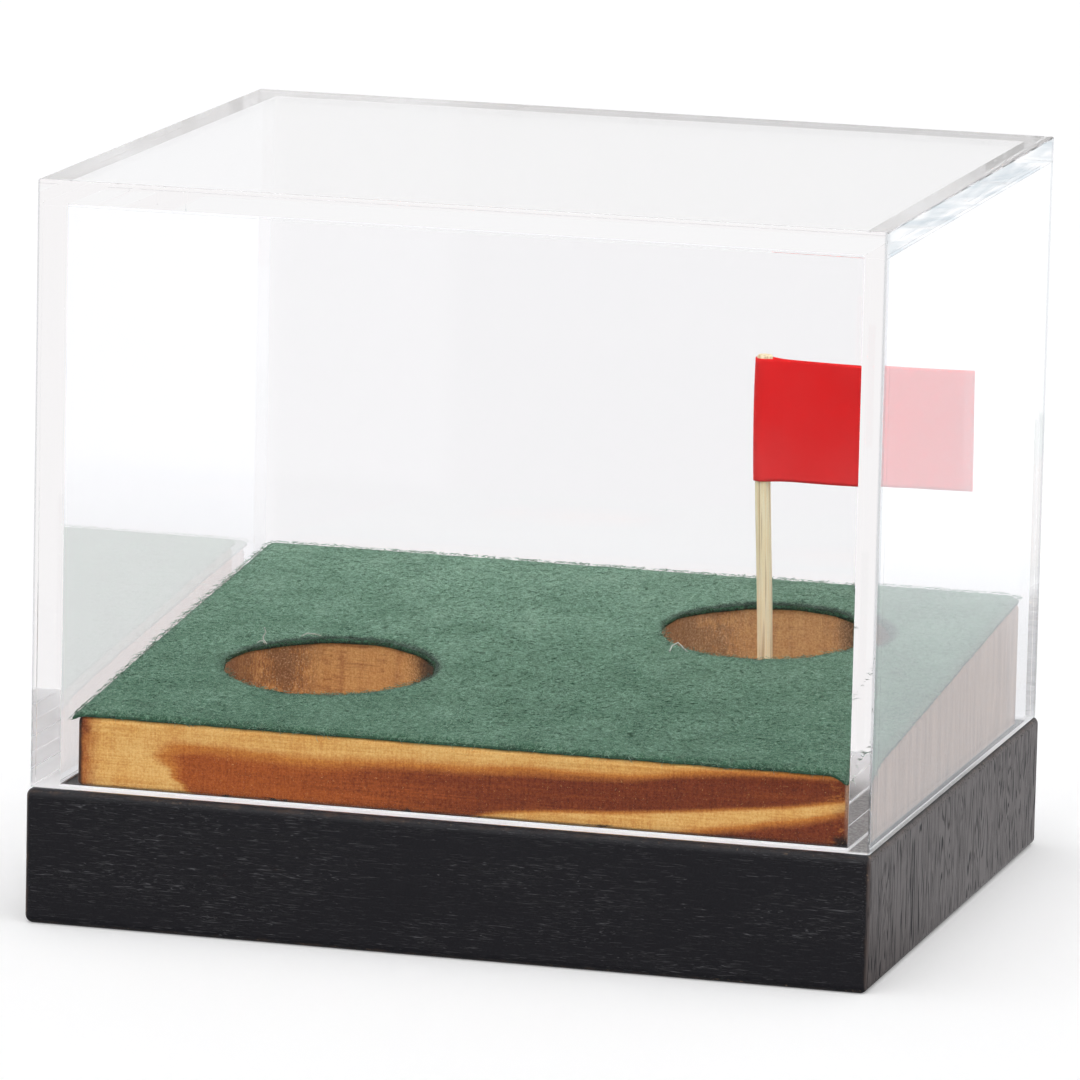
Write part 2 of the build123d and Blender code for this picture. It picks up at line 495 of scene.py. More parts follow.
@dataclass(frozen=True)
class BlackWood:
    """Black painted board with pressed grain and edges rubbed down to brown."""

    paint: Colour = (0.0072, 0.0066, 0.0096)
    paint_light: Colour = (0.0120, 0.0112, 0.0150)
    grain: Colour = (0.095, 0.094, 0.102)
    # Lighter end-face paint: partly the end grain's own tone, partly painted sheen of the grazing
    # reflection.
    end_paint_and_sheen: Colour = (0.092, 0.074, 0.071)
    rubbed: Colour = (0.075, 0.043, 0.030)
    bare: Colour = (0.33, 0.22, 0.13)
    shine: float = 0.30
    depth: float = 0.09

    def edge_distance(self, g: Graph, where: Socket, half: Vector, height: float) -> Socket:
        """Return how far a point on the board lies from its nearest edge.

        Args:
            g: The tree to work in.
            where: The point in millimetres.
            half: Half the board's width and depth.
            height: The board's height.

        Returns:
            The distance in millimetres.
        """
        x, y, z = g.parts(where)
        dx = g.minus(half.x, g.size(x))
        dy = g.minus(half.y, g.size(y))
        dz = g.least(z, g.minus(height, z))
        return g.least(*(g.most(a, b) for a, b in ((dx, dy), (dx, dz), (dy, dz))))

    def long_pores(self, g: Graph, where: Socket) -> Socket:
        """Return the pressed pores of the long faces, in broken lines and fine dashes.

        Args:
            g: The tree to work in.
            where: The point in millimetres.

        Returns:
            1 in a pore and 0 beside it.
        """
        patches = g.noise(where, (0.03, 0.13, 0.13), 2.0)
        lines = g.lines(g.noise(where, (0.020, 0.48, 0.48), 3.0, 0.55, 0.35), 30.0, 0.17)
        need = g.between(g.step(patches, 0.36, 0.62), 0.60, 0.43)
        breaks = g.minus(g.noise(where, (0.17, 2.6, 2.6), 3.0, 0.65), need)
        dashes = g.step(g.noise(where, (0.30, 6.5, 6.5), 2.0, 0.6), 0.62, 0.68)
        dashes = g.times(dashes, g.step(patches, 0.30, 0.60))
        return g.most(g.times(lines, g.step(breaks, -0.02, 0.05)), dashes)

    def end_pores(self, g: Graph, where: Socket) -> Socket:
        """Return the pores of the end faces, in broken upright lines.

        Args:
            g: The tree to work in.
            where: The point in millimetres.

        Returns:
            1 in a pore and 0 beside it.
        """
        lines = g.lines(g.noise(where, (1.0, 0.13, 0.011), 3.0, 0.6, 0.6), 20.0, 0.42)
        breaks = g.noise(where, (1.0, 1.1, 0.10), 4.0, 0.6)
        return g.times(lines, g.step(breaks, 0.36, 0.56))

    def make(self, half: Vector, height: float) -> bpy.types.Material:
        """Return the finished material.

        Args:
            half: Half the board's width and depth in millimetres.
            height: The board's height in millimetres.

        Returns:
            The material.
        """
        g = Graph("black_grained_paint")
        where = g.place()
        end_face = g.step(g.size(g.facing()[0]), 0.6, 0.8)
        long_pores, end_pores = self.long_pores(g, where), self.end_pores(g, where)
        pores = g.between(end_face, long_pores, end_pores)
        fine = g.noise(where, 3.5, 3.0, 0.6)
        edge = self.edge_distance(g, where, half, height)
        ragged = g.muladd(g.noise(where, 0.22, 3.0, 0.6), 2.4, -1.2)
        worn = g.step(g.minus(edge, ragged), 0.8, -0.3)
        chip_noise = g.noise(where, (0.9, 0.9, 0.35), 3.0, 0.65)
        chips = g.times(g.step(chip_noise, 0.60, 0.68), g.step(edge, 0.9, 0.3))
        to_right = g.step(g.parts(where)[0], 40.0, 79.0)
        chips = g.times(chips, g.muladd(to_right, 0.75, 0.25))
        colour = g.blend(g.step(fine, 0.35, 0.7), self.paint, self.paint_light)
        # End faces: pores keep the dark paint, the rest takes the lighter tone with its painted
        # sheen.
        end_tone_and_sheen = g.blend(end_pores, self.end_paint_and_sheen, self.paint)
        colour = g.blend(end_face, colour, end_tone_and_sheen)
        lit_pores = g.times(long_pores, g.minus(1.0, end_face))
        colour = g.blend(g.times(lit_pores, 0.9), colour, self.grain)
        colour = g.blend(g.times(worn, 0.8), colour, self.rubbed)
        colour = g.blend(chips, colour, self.bare)
        relief = g.muladd(pores, -1.0, g.times(fine, 0.12))
        rough = g.between(pores, 0.36, 0.62)
        rough = g.muladd(g.noise(where, 0.5, 3.0), 0.12, rough, clamp=True)
        return g.principled(
            colour,
            Roughness=rough,
            Specular_IOR_Level=self.shine,
            Normal=g.bump(relief, self.depth),
        )


@dataclass(frozen=True)
class Margins:
    """How far a point on the block lies from its sides, all of them outputs of nodes."""

    left: Socket
    right: Socket
    face: Socket
    rise: Socket
    down: Socket
    skin: Socket


@dataclass(frozen=True)
class ScorchedPine:
    """Planed pine whose face was burnt brown in a long soft band, with charred corners."""

    honey: Colour = (0.71, 0.355, 0.088)
    straw: Colour = (0.82, 0.50, 0.165)
    amber: Colour = (0.57, 0.205, 0.034)
    rust: Colour = (0.375, 0.088, 0.014)
    umber: Colour = (0.175, 0.033, 0.009)
    char: Colour = (0.020, 0.013, 0.010)
    cup_wood: Colour = (0.44, 0.205, 0.075)
    cup_light: Colour = (0.64, 0.35, 0.13)
    cup_dark: Colour = (0.27, 0.135, 0.065)
    # Near black of the painted shade on each cup's right wall.
    cup_shade: Colour = (0.030, 0.032, 0.028)
    # Colour of the painted light laid over the right cup's wall.
    cup_painted_light: Colour = (0.60, 0.44, 0.26)
    cup_fleck: Colour = (0.72, 0.50, 0.30)
    end_grain: Colour = (0.36, 0.20, 0.13)
    end_light: Colour = (0.52, 0.34, 0.24)
    shine: float = 0.10
    depth: float = 0.10
    grit: float = 0.52

    def burnt(self, g: Graph, x: Socket, rise: Socket, down: Socket, streaks: Socket) -> Socket:
        """Return how deep the long faces are burnt.

        Args:
            g: The tree to work in.
            x: The place along the block.
            rise: The height above the block's foot.
            down: The depth below the block's top.
            streaks: Noise drawn out along the grain, from -0.5 to 0.5.

        Returns:
            0 on clean wood, rising to 1 in the middle of the burnt band.
        """
        strip = g.curve(
            x,
            [(-73, 2.6), (-56, 2.9), (-48, 4.1), (-37, 4.7), (-27, 5.1), (-16, 4.6), (-6, 4.1),
             (3, 4.0), (10, 3.7), (15, 3.4), (25, 3.4), (33, 3.2), (37, 2.8), (40, 2.3),
             (43, 1.8), (49, 1.2), (58, 0.7), (75, 0.4)],
        )
        width = g.curve(x, [(-73, 6.0), (-40, 5.4), (-10, 4.8), (15, 4.4), (40, 3.6), (75, 2.4)])
        depth = g.minus(g.muladd(streaks, 1.3, down), strip)
        top = g.step(depth, g.times(width, -0.4), g.times(width, 0.65))
        start = g.curve(
            rise, [(0, -51.0), (2, -52.6), (4, -54.8), (6, -57.0), (9, -58.5), (25, -60)]
        )
        run = g.curve(rise, [(0, 2.2), (3, 3.5), (6, 9.0), (10, 13.0), (25, 14.0)])
        along = g.minus(g.muladd(streaks, 9.0, x), start)
        left = g.step(g.sum("DIVIDE", along, run), -0.1, 1.0)
        ceiling = g.curve(
            x, [(-73, -3.0), (0, -0.6), (7, 1.2), (13, 2.0), (20, 2.6), (30, 3.2), (40, 4.2),
                (50, 5.3), (60, 6.5), (69, 7.8), (75, 8.8)]
        )
        floor = g.curve(
            x, [(-73, -4.0), (30, -1.8), (38, -0.4), (45, 0.7), (50, 1.7), (55, 2.5), (60, 3.6),
                (65, 4.3), (69, 5.3), (75, 6.6)]
        )
        mild = g.muladd(streaks, 0.5, rise)
        streak = g.times(
            g.step(g.minus(ceiling, mild), -0.8, 0.9),
            g.step(g.minus(mild, floor), -2.2, 1.5),
        )
        burn = g.times(top, left)
        return g.times(burn, g.minus(1.0, streak))

    def planed(
        self, g: Graph, where: Socket, burn: Socket, rise: Socket, streaks: Socket
    ) -> Socket:
        """Return the colour of the long planed faces.

        Args:
            g: The tree to work in.
            where: The point in millimetres.
            burn: How deep the face is burnt there.
            rise: The height above the block's foot.
            streaks: Noise drawn out along the grain, from -0.5 to 0.5.

        Returns:
            The colour.
        """
        x = g.parts(where)[0]
        fibres = g.noise(where, (0.06, 2.6, 2.6), 4.0, 0.65, 0.2)
        cloud = g.noise(where, (0.16, 0.10, 0.10), 3.0, 0.6)
        clean = g.muladd(g.minus(fibres, 0.5), 0.9, cloud)
        clean = g.muladd(streaks, 0.35, clean)
        pale = g.blend(g.step(clean, 0.25, 0.75), self.honey, self.straw)
        deep = g.muladd(g.step(x, -55.0, 25.0), 0.75, g.times(streaks, 0.7))
        lifted = g.times(g.step(rise, 4.5, 0.0), g.step(x, 15.0, -20.0))
        deep = g.muladd(lifted, -0.35, deep)
        deep = g.muladd(g.minus(fibres, 0.5), 0.9, deep)
        brown = g.blend(g.step(deep, -0.1, 0.85), self.rust, self.umber)
        colour = g.blend(g.step(burn, 0.0, 0.42), pale, self.amber)
        return g.blend(g.step(burn, 0.22, 0.95), colour, brown)

    def bored(self, g: Graph, where: Socket, facing: Socket, speckle: Socket) -> Socket:
        """Return the cups' colour: torn end grain dark, painted shade at the ends and right wall,
        painted light at right.

        Args:
            g: The tree to work in.
            where: The point in millimetres.
            facing: How far the wall faces along the grain, from -1 to 1.
            speckle: Fine noise.

        Returns:
            The colour.
        """
        sideways = g.size(facing)
        end_face = g.step(sideways, 0.26, 0.60)
        streaks = g.noise(where, (0.04, 1.6, 1.6), 4.0, 0.65, 0.3)
        bands = g.noise(where, (0.35, 0.35, 0.02), 2.0)
        pale = g.muladd(g.minus(bands, 0.5), 0.8, streaks)
        cup = g.blend(g.step(pale, 0.28, 0.56), self.cup_wood, self.cup_light)
        tears = g.noise(where, (2.2, 2.2, 0.8), 4.0, 0.75, 0.5)
        patch = g.noise(where, 0.13, 3.0, 0.6)
        torn = g.muladd(g.minus(patch, 0.5), 1.2, tears)
        rough = g.ramp(
            torn, [(0.34, self.cup_light), (0.46, self.cup_wood), (0.60, self.cup_dark)]
        )
        cup = g.blend(g.times(end_face, 0.92), cup, rough)
        # Painted light: the right cup's wall lightened, more towards the right.
        dust_and_painted_light = g.times(g.step(g.parts(where)[0], 5.0, 20.0), 0.30)
        cup = g.blend(dust_and_painted_light, cup, self.cup_painted_light)
        flecks = g.times(g.step(speckle, 0.56, 0.66), end_face)
        cup = g.blend(g.times(flecks, 0.6), cup, self.cup_fleck)
        # Darker where the wall faces straight along the grain: end grain, with painted shade at
        # the cup's two ends.
        cup = g.blend(g.times(g.step(sideways, 0.80, 1.0), 0.6), cup, self.cup_dark)
        # Painted shade: the cup's right wall, which faces left, turns near black.
        tip = g.step(g.muladd(speckle, 0.3, facing), -0.30, -0.65)
        return g.blend(g.times(tip, 0.9), cup, self.cup_shade)

    def charred(self, g: Graph, where: Socket, colour: Socket, near: Margins) -> Socket:
        """Return the colour with its toasted, torn and charred corners.

        Args:
            g: The tree to work in.
            where: The point in millimetres.
            colour: The colour without them.
            near: How far the point lies from the block's sides.

        Returns:
            The colour.
        """
        ragged = g.muladd(g.noise(where, 0.45, 4.0, 0.65), 2.4, -1.2)
        at_left, at_right = g.most(near.left, near.face), g.most(near.right, near.face)
        near_left = g.sum("ADD", at_left, ragged)
        near_right = g.sum("ADD", at_right, ragged)
        toast = g.times(g.step(near_left, 5.2, 0.6), 0.9, near.skin)
        colour = g.blend(toast, colour, self.rust)
        corner = g.muladd(ragged, 0.7, g.most(at_left, g.minus(near.down, 0.8)))
        colour = g.blend(g.times(g.step(corner, 3.4, 1.2), 0.8), colour, self.umber)
        scorch = g.times(g.step(near_right, 3.6, 0.8), g.step(near.rise, 9.5, 3.0))
        colour = g.blend(g.times(scorch, near.skin, 0.8), colour, self.umber)
        tears = g.step(g.noise(where, (0.5, 1.2, 1.4), 4.0, 0.7), 0.50, 0.68)
        tears = g.times(tears, g.step(near_right, 4.5, 2.4), near.skin, 0.55)
        colour = g.blend(tears, colour, self.amber)
        thin = g.muladd(ragged, 0.25, at_left)
        foot = g.muladd(ragged, 0.8, g.most(at_right, near.rise))
        under = g.muladd(ragged, 0.35, g.most(near.face, near.rise))
        black = g.most(g.step(thin, 1.5, 0.55), g.step(foot, 2.6, 1.2))
        nicks = g.step(g.noise(where, (0.22, 0.4, 0.4), 2.0), 0.60, 0.68)
        black = g.most(black, g.times(g.step(under, 0.9, 0.5), nicks))
        return g.blend(g.times(black, near.skin, 0.92), colour, self.char)

    def gritty(self, g: Graph, where: Socket, colour: Socket, speckle: Socket) -> Socket:
        """Return the colour with fine grit, saw marks and pale dots.

        Args:
            g: The tree to work in.
            where: The point in millimetres.
            colour: The colour without them.
            speckle: Fine noise.

        Returns:
            The colour.
        """
        saw = g.noise(where, (2.6, 1.0, 0.22), 3.0, 0.6)
        grit = g.step(g.muladd(speckle, 0.75, g.times(saw, 0.25)), 0.30, 0.70)
        colour = g.blend(self.grit, colour, g.joined(grit, grit, grit), "SOFT_LIGHT")
        dots = g.times(g.step(g.noise(where, 1.9, 3.0, 0.8), 0.66, 0.70), 0.5)
        return g.blend(dots, colour, self.straw)

    def make(
        self, low: Vector, high: Vector, slope: float, front_top: float
    ) -> bpy.types.Material:
        """Return the finished material.

        Args:
            low: The block's lowest corner in millimetres.
            high: The block's highest corner in millimetres.
            slope: How much the block's top rises for each millimetre back.
            front_top: The height of the block's top at its front.

        Returns:
            The material.
        """
        g = Graph("scorched_pine")
        where = g.place()
        x, y, z = g.parts(where)
        facing = g.facing()[0]
        left, right = g.minus(x, low.x), g.minus(high.x, x)
        face = g.least(g.minus(y, low.y), g.minus(high.y, y))
        skin = g.step(g.least(g.least(left, right), face), 3.0, 2.0)
        rise = g.minus(z, low.z)
        down = g.minus(g.muladd(g.minus(y, low.y), slope, front_top), z)
        streaks = g.minus(g.noise(where, (0.030, 0.55, 0.55), 4.0, 0.6, 0.2), 0.5)
        speckle = g.noise(where, 2.8, 4.0, 0.7)
        burn = self.burnt(g, x, rise, down, streaks)
        planed = self.planed(g, where, burn, rise, streaks)
        end_lines = g.noise(where, (1.0, 0.35, 0.035), 4.0, 0.65, 0.6)
        end_colour = g.blend(g.step(end_lines, 0.34, 0.66), self.end_grain, self.end_light)
        outside = g.blend(g.step(g.size(facing), 0.72, 0.92), planed, end_colour)
        colour = g.blend(skin, self.bored(g, where, facing, speckle), outside)
        near = Margins(left, right, face, rise, down, skin)
        colour = self.charred(g, where, colour, near)
        colour = self.gritty(g, where, colour, speckle)
        fibres = g.noise(where, (0.12, 4.5, 4.5), 3.0, 0.6)
        relief = g.muladd(fibres, 0.6, g.times(speckle, 0.3))
        return g.principled(
            colour,
            Roughness=g.between(fibres, 0.42, 0.68),
            Specular_IOR_Level=self.shine,
            Normal=g.bump(relief, self.depth),
        )


@dataclass(frozen=True)
class GreenFelt:
    """Pressed wool felt in a putting-green colour."""

    dark: Colour = (0.024, 0.092, 0.048)
    mid: Colour = (0.060, 0.168, 0.094)
    light: Colour = (0.26, 0.42, 0.31)
    # Painted shade of the cut edges away from the front, and of the felt behind the holes.
    cut: Colour = (0.015, 0.028, 0.020)
    edge: Colour = (0.032, 0.070, 0.046)
    sheen: Colour = (0.75, 1.0, 0.85)
    shine: float = 0.1
    bloom: float = 0.22
    depth: float = 0.5

    def painted_rim_shade(
        self, g: Graph, where: Socket, cups: Sequence[Sequence[float]], fray: Socket
    ) -> Socket:
        """Return the painted shade on the felt at the far side of each hole, where it curls down.

        Args:
            g: The tree to work in.
            where: The point in millimetres.
            cups: Each hole's centre and radius.
            fray: Noise that breaks the dark edge up.

        Returns:
            0 away from the holes, rising to 1 at their far rims.
        """
        x, y, _ = g.parts(where)
        share: Socket | float = 0.0
        for cx, cy, radius in cups:
            dx, dy = g.minus(x, cx), g.minus(y, cy)
            across = g.muladd(dx, dx, g.times(dy, dy))
            away = g.minus(g.sum("SQRT", across), radius)
            away = g.muladd(g.minus(fray, 0.5), 3.0, away)
            behind = g.step(g.muladd(dx, 0.35, dy), -8.0, 6.0)
            share = g.most(share, g.times(g.step(away, 1.5, 0.1), behind))
        return share

    def make(
        self,
        name: str,
        cups: Sequence[Sequence[float]],
        lighter: float = 0.0,
        spread: float = 0.085,
    ) -> bpy.types.Material:
        """Return the finished material.

        Args:
            name: The material's name.
            cups: The centre and radius of each hole.
            lighter: How far the colours move towards the light one.
            spread: How far from the middle the dark and light ends lie.

        Returns:
            The material.
        """
        g = Graph(name)
        where = g.place()
        fibres = g.noise(where, 1.25, 5.0, 0.8, 1.2)
        hairs = g.noise(where, 3.2, 3.0, 0.75, 2.0)
        cloud = g.noise(where, 0.09, 2.0)
        # Painted sheen: the felt paler towards the back.
        pale_sheen_tone = g.step(g.parts(where)[1], -40.0, 58.0)
        mixed = g.muladd(fibres, 0.65, g.times(hairs, 0.35))
        mixed = g.muladd(g.minus(cloud, 0.5), 0.10, mixed)
        mixed = g.muladd(pale_sheen_tone, 0.045, mixed)
        mixed = g.sum("ADD", mixed, lighter)
        colour = g.ramp(
            mixed, [(0.5 - spread * 0.8, self.dark), (0.5, self.mid), (0.5 + spread, self.light)]
        )
        # Painted shade on the felt behind each hole's far rim.
        rims = self.painted_rim_shade(g, where, cups, fibres)
        colour = g.blend(g.times(rims, 0.85), colour, self.cut)
        return g.principled(
            colour,
            Roughness=g.between(fibres, 0.85, 1.0),
            Specular_IOR_Level=self.shine,
            Sheen_Weight=self.bloom,
            Sheen_Roughness=0.45,
            Sheen_Tint=self.sheen,
            Normal=g.bump(mixed, self.depth),
        )

    def make_cut(self) -> bpy.types.Material:
        """Return the finish of the felt's cut edges, dark, and darker away from the front edge as
        painted shade.

        Returns:
            The material.
        """
        g = Graph("wool_cut")
        fray = g.noise(g.place(), 2.2, 4.0, 0.8, 1.0)
        # Painted shade: cut edges darker everywhere but along the front edge.
        deep = g.blend(g.step(g.parts(g.place())[1], -60.2, -58.5), self.edge, self.cut)
        colour = g.blend(g.step(fray, 0.40, 0.62), deep, self.mid)
        return g.principled(colour, Roughness=0.95, Specular_IOR_Level=0.05)


@dataclass(frozen=True)
class Lint:
    """Stray white wool."""

    white: Colour = (0.72, 0.72, 0.68)
    stained: Colour = (0.5, 0.55, 0.5)

    def make(self) -> bpy.types.Material:
        """Return the finished material.

        Returns:
            The material.
        """
        g = Graph("white_lint")
        colour = g.blend(g.noise(g.place(), 4.0, 2.0), self.white, self.stained)
        return g.principled(colour, Roughness=0.9)


@dataclass(frozen=True)
class Bamboo:
    """Split bamboo, pale, with lengthwise vessels."""

    pale: Colour = (0.97, 0.80, 0.49)
    light: Colour = (1.0, 0.92, 0.68)
    vessel: Colour = (0.50, 0.33, 0.15)
    shine: float = 0.3
    depth: float = 0.05
    lean: float = 0.0306

    def make(self) -> bpy.types.Material:
        """Return the finished material.

        Returns:
            The material.
        """
        g = Graph("split_bamboo")
        where = g.place()
        x, y, z = g.parts(where)
        straight = g.muladd(z, self.lean, x)
        lined = g.joined(straight, y, g.times(z, 0.02))
        fibres = g.noise(lined, 4.5, 3.0, 0.6)
        lines = g.noise(lined, 1.9, 2.0, 0.5)
        colour = g.blend(g.step(fibres, 0.35, 0.65), self.pale, self.light)
        colour = g.blend(g.times(g.step(lines, 0.52, 0.62), 0.75), colour, self.vessel)
        end = g.times(g.noise(where, 5.0, 3.0), 0.25)
        colour = g.blend(end, colour, self.pale)
        return g.principled(
            colour,
            Roughness=g.between(fibres, 0.45, 0.65),
            Specular_IOR_Level=self.shine,
            Normal=g.bump(fibres, self.depth),
        )


@dataclass(frozen=True)
class RedPaper:
    """Glazed red paper with a faint fibre, paler towards its lower edge as painted sheen."""

    red: Colour = (0.82, 0.0015, 0.0025)
    # Paler red: a random cloud of tone, and painted sheen on the lower part.
    pale_sheen_tone: Colour = (0.82, 0.050, 0.052)
    pulpy: Colour = (0.8, 0.06, 0.05)
    shine: float = 0.12
    depth: float = 0.015

    def make(self) -> bpy.types.Material:
        """Return the finished material.

        Returns:
            The material.
        """
        g = Graph("glazed_red_paper")
        where = g.place()
        pulp = g.noise(where, 3.0, 5.0, 0.7, 0.6)
        cloud = g.noise(where, 0.12, 2.0)
        # Painted sheen: paler towards the leaf's lower edge.
        low = g.step(g.parts(where)[2], 92.0, 76.0)
        share = g.muladd(low, 0.45, g.times(cloud, 0.4), clamp=True)
        colour = g.blend(share, self.red, self.pale_sheen_tone)
        colour = g.blend(g.times(g.step(pulp, 0.6, 0.75), 0.12), colour, self.pulpy)
        return g.principled(
            colour,
            Roughness=g.between(pulp, 0.42, 0.58),
            Specular_IOR_Level=self.shine,
            Normal=g.bump(pulp, self.depth),
        )


@dataclass(frozen=True)
class ZincSteel:
    """Zinc-plated screws, passivated slightly yellow and blue."""

    blue: Colour = (0.60, 0.62, 0.66)
    plain: Colour = (0.66, 0.66, 0.62)
    yellow: Colour = (0.62, 0.58, 0.48)
    depth: float = 0.02

    def make(self) -> bpy.types.Material:
        """Return the finished material.

        Returns:
            The material.
        """
        g = Graph("zinc_plated_steel")
        where = g.place()
        tint = g.noise(where, 0.8, 2.0)
        scuffs = g.noise(where, 6.0, 4.0, 0.7)
        colour = g.ramp(tint, [(0.3, self.blue), (0.5, self.plain), (0.7, self.yellow)])
        return g.principled(
            colour,
            Metallic=1.0,
            Roughness=g.between(scuffs, 0.22, 0.5),
            Normal=g.bump(scuffs, self.depth),
        )


@dataclass(frozen=True)
class ClearAcrylic:
    """Polished clear acrylic sheet with cement streaks, a trace of dust and hairline marks."""

    tint: Colour = (0.998, 0.994, 1.0)
    cement: Colour = (0.40, 0.49, 0.55)
    # Grey of the painted shade at the corners and the right side's ends.
    corner: Colour = (0.56, 0.59, 0.61)
    film: Colour = (0.85, 0.85, 0.87)
    shade: Colour = (0.93, 0.93, 0.94)
    refraction: float = 1.47
    dust: float = 0.018

    def tinted(self, g: Graph, where: Socket, half: Vector, seam: float) -> Socket:
        """Return the clear colour, greyed by cement at the top's ends, with painted shade at the
        corners and at the right side's ends.

        Args:
            g: The tree to work in.
            where: The point in millimetres.
            half: Half the cover's width and depth.
            seam: The height of the joint under the top sheet.

        Returns:
            The colour.
        """
        x, y, z = g.parts(where)
        sideways = g.step(g.size(g.facing()[0]), 0.6, 0.9)
        drawn = g.muladd(y, 0.05, g.times(z, 0.42))
        flow = g.joined(drawn, g.times(z, 0.10), g.times(x, 0.01))
        streaks = g.step(g.noise(flow, 1.0, 4.0, 0.65, 0.5), 0.40, 0.62)
        glued = g.times(g.step(z, seam - 0.2, seam + 0.1), sideways)
        colour = g.blend(g.times(glued, streaks), self.tint, self.cement)
        # Painted shade: the corners greyed where a ray first meets them, and the back right
        # corner for every ray.
        to_side = g.minus(half.x, g.size(x))
        to_face = g.minus(half.y, g.size(y))
        near = g.step(g.most(to_side, to_face), 0.5, 0.3)
        first = g.unbounced(Ray.DEPTH)
        far = g.times(g.step(x, 70.0, 75.0), g.step(y, 60.0, 66.0))
        near = g.times(near, g.most(first, far))
        # Painted shade on the right side's outside near its front and back ends, for first hits.
        outside = g.times(first, g.step(x, half.x - 0.3, half.x - 0.1))
        painted_side_end_shade = g.times(outside, g.step(to_face, 2.6, 1.8))
        return g.blend(g.most(near, painted_side_end_shade), colour, self.corner)

    def make(self, half: Vector, seam: float) -> bpy.types.Material:
        """Return the finished material.

        Args:
            half: Half the cover's width and depth.
            seam: The height of the joint under the top sheet.

        Returns:
            The material.
        """
        g = Graph("clear_acrylic")
        where = g.place()
        cloud = g.noise(where, 0.05, 3.0, 0.6)
        hairs = g.noise(where, (0.9, 0.9, 0.03), 4.0, 0.7)
        share = g.times(g.step(hairs, 0.58, 0.75), g.step(cloud, 0.4, 0.7))
        glass = g.add(
            "BsdfPrincipled",
            Base_Color=self.tinted(g, where, half, seam),
            Roughness=0.0,
            IOR=self.refraction,
            Transmission_Weight=1.0,
        )
        film = g.add("BsdfDiffuse", self.film)
        dust_and_painted_light = g.cover(g.times(share, self.dust), glass, film)
        open_to_lamps = g.add("BsdfTransparent", self.shade)
        return g.finish(g.cover(g.ray(Ray.SHADOW), dust_and_painted_light, open_to_lamps).outputs[0])


@dataclass(frozen=True)
class SawnEdge:
    """The frosted sawn rim that the cover stands on."""

    white: Colour = (0.97, 0.97, 0.975)
    frost: Colour = (0.90, 0.90, 0.91)
    bare: Colour = (0.18, 0.17, 0.17)
    dull: Colour = (0.48, 0.47, 0.46)
    depth: float = 0.1

    def make(self) -> bpy.types.Material:
        """Return the finished material.

        Returns:
            The material.
        """
        g = Graph("frosted_sawn_edge")
        where = g.place()
        x, y, _ = g.parts(where)
        along = g.sum("ADD", x, y)
        lines = g.noise(g.joined(along, 0.0, 0.0), 1.4, 3.0, 0.6)
        colour = g.blend(g.step(lines, 0.3, 0.6), self.frost, self.white)
        polished = g.times(g.step(x, 74.8, 75.4), g.step(y, 40.0, 5.0))
        polished = g.times(polished, g.step(y, -66.0, -63.0))
        specks = g.step(g.noise(where, 1.6, 3.0, 0.7), 0.40, 0.62)
        colour = g.blend(polished, colour, g.blend(specks, self.bare, self.dull))
        return g.principled(colour, Roughness=0.6, Normal=g.bump(lines, self.depth))


@dataclass
class BaseBoard:
    """The black board that everything stands on, and the screws under it."""

    finish: BlackWood = field(default_factory=BlackWood)
    screw_finish: ZincSteel = field(default_factory=ZincSteel)

    def build(self) -> None:
        """Dress the board and its screws."""
        _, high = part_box("base_board")
        half = Vector((high.x, high.y, 0.0)) / MM
        dress_node("base_board", self.finish.make(half, high.z / MM))
        dress_node("fixing_screws", self.screw_finish.make())


@dataclass
class WedgeBlock:
    """The sloping block with its two cups."""

    finish: ScorchedPine = field(default_factory=ScorchedPine)
    front_height: float = 13.4
    back_height: float = 24.6

    def __post_init__(self) -> None:
        """Read the block's size from its CAD node."""
        low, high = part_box("wedge_block")
        self.low, self.high = low / MM, high / MM
        self.rise = (self.back_height - self.front_height) / (self.high.y - self.low.y)

    def top(self, y: float) -> float:
        """Return the height of the sloping top at a depth."""
        return self.low.z + self.front_height + self.rise * (y - self.low.y)

    def build(self) -> None:
        """Dress the block."""
        material = self.finish.make(self.low, self.high, self.rise, self.top(self.low.y))
        dress_node("wedge_block", material)


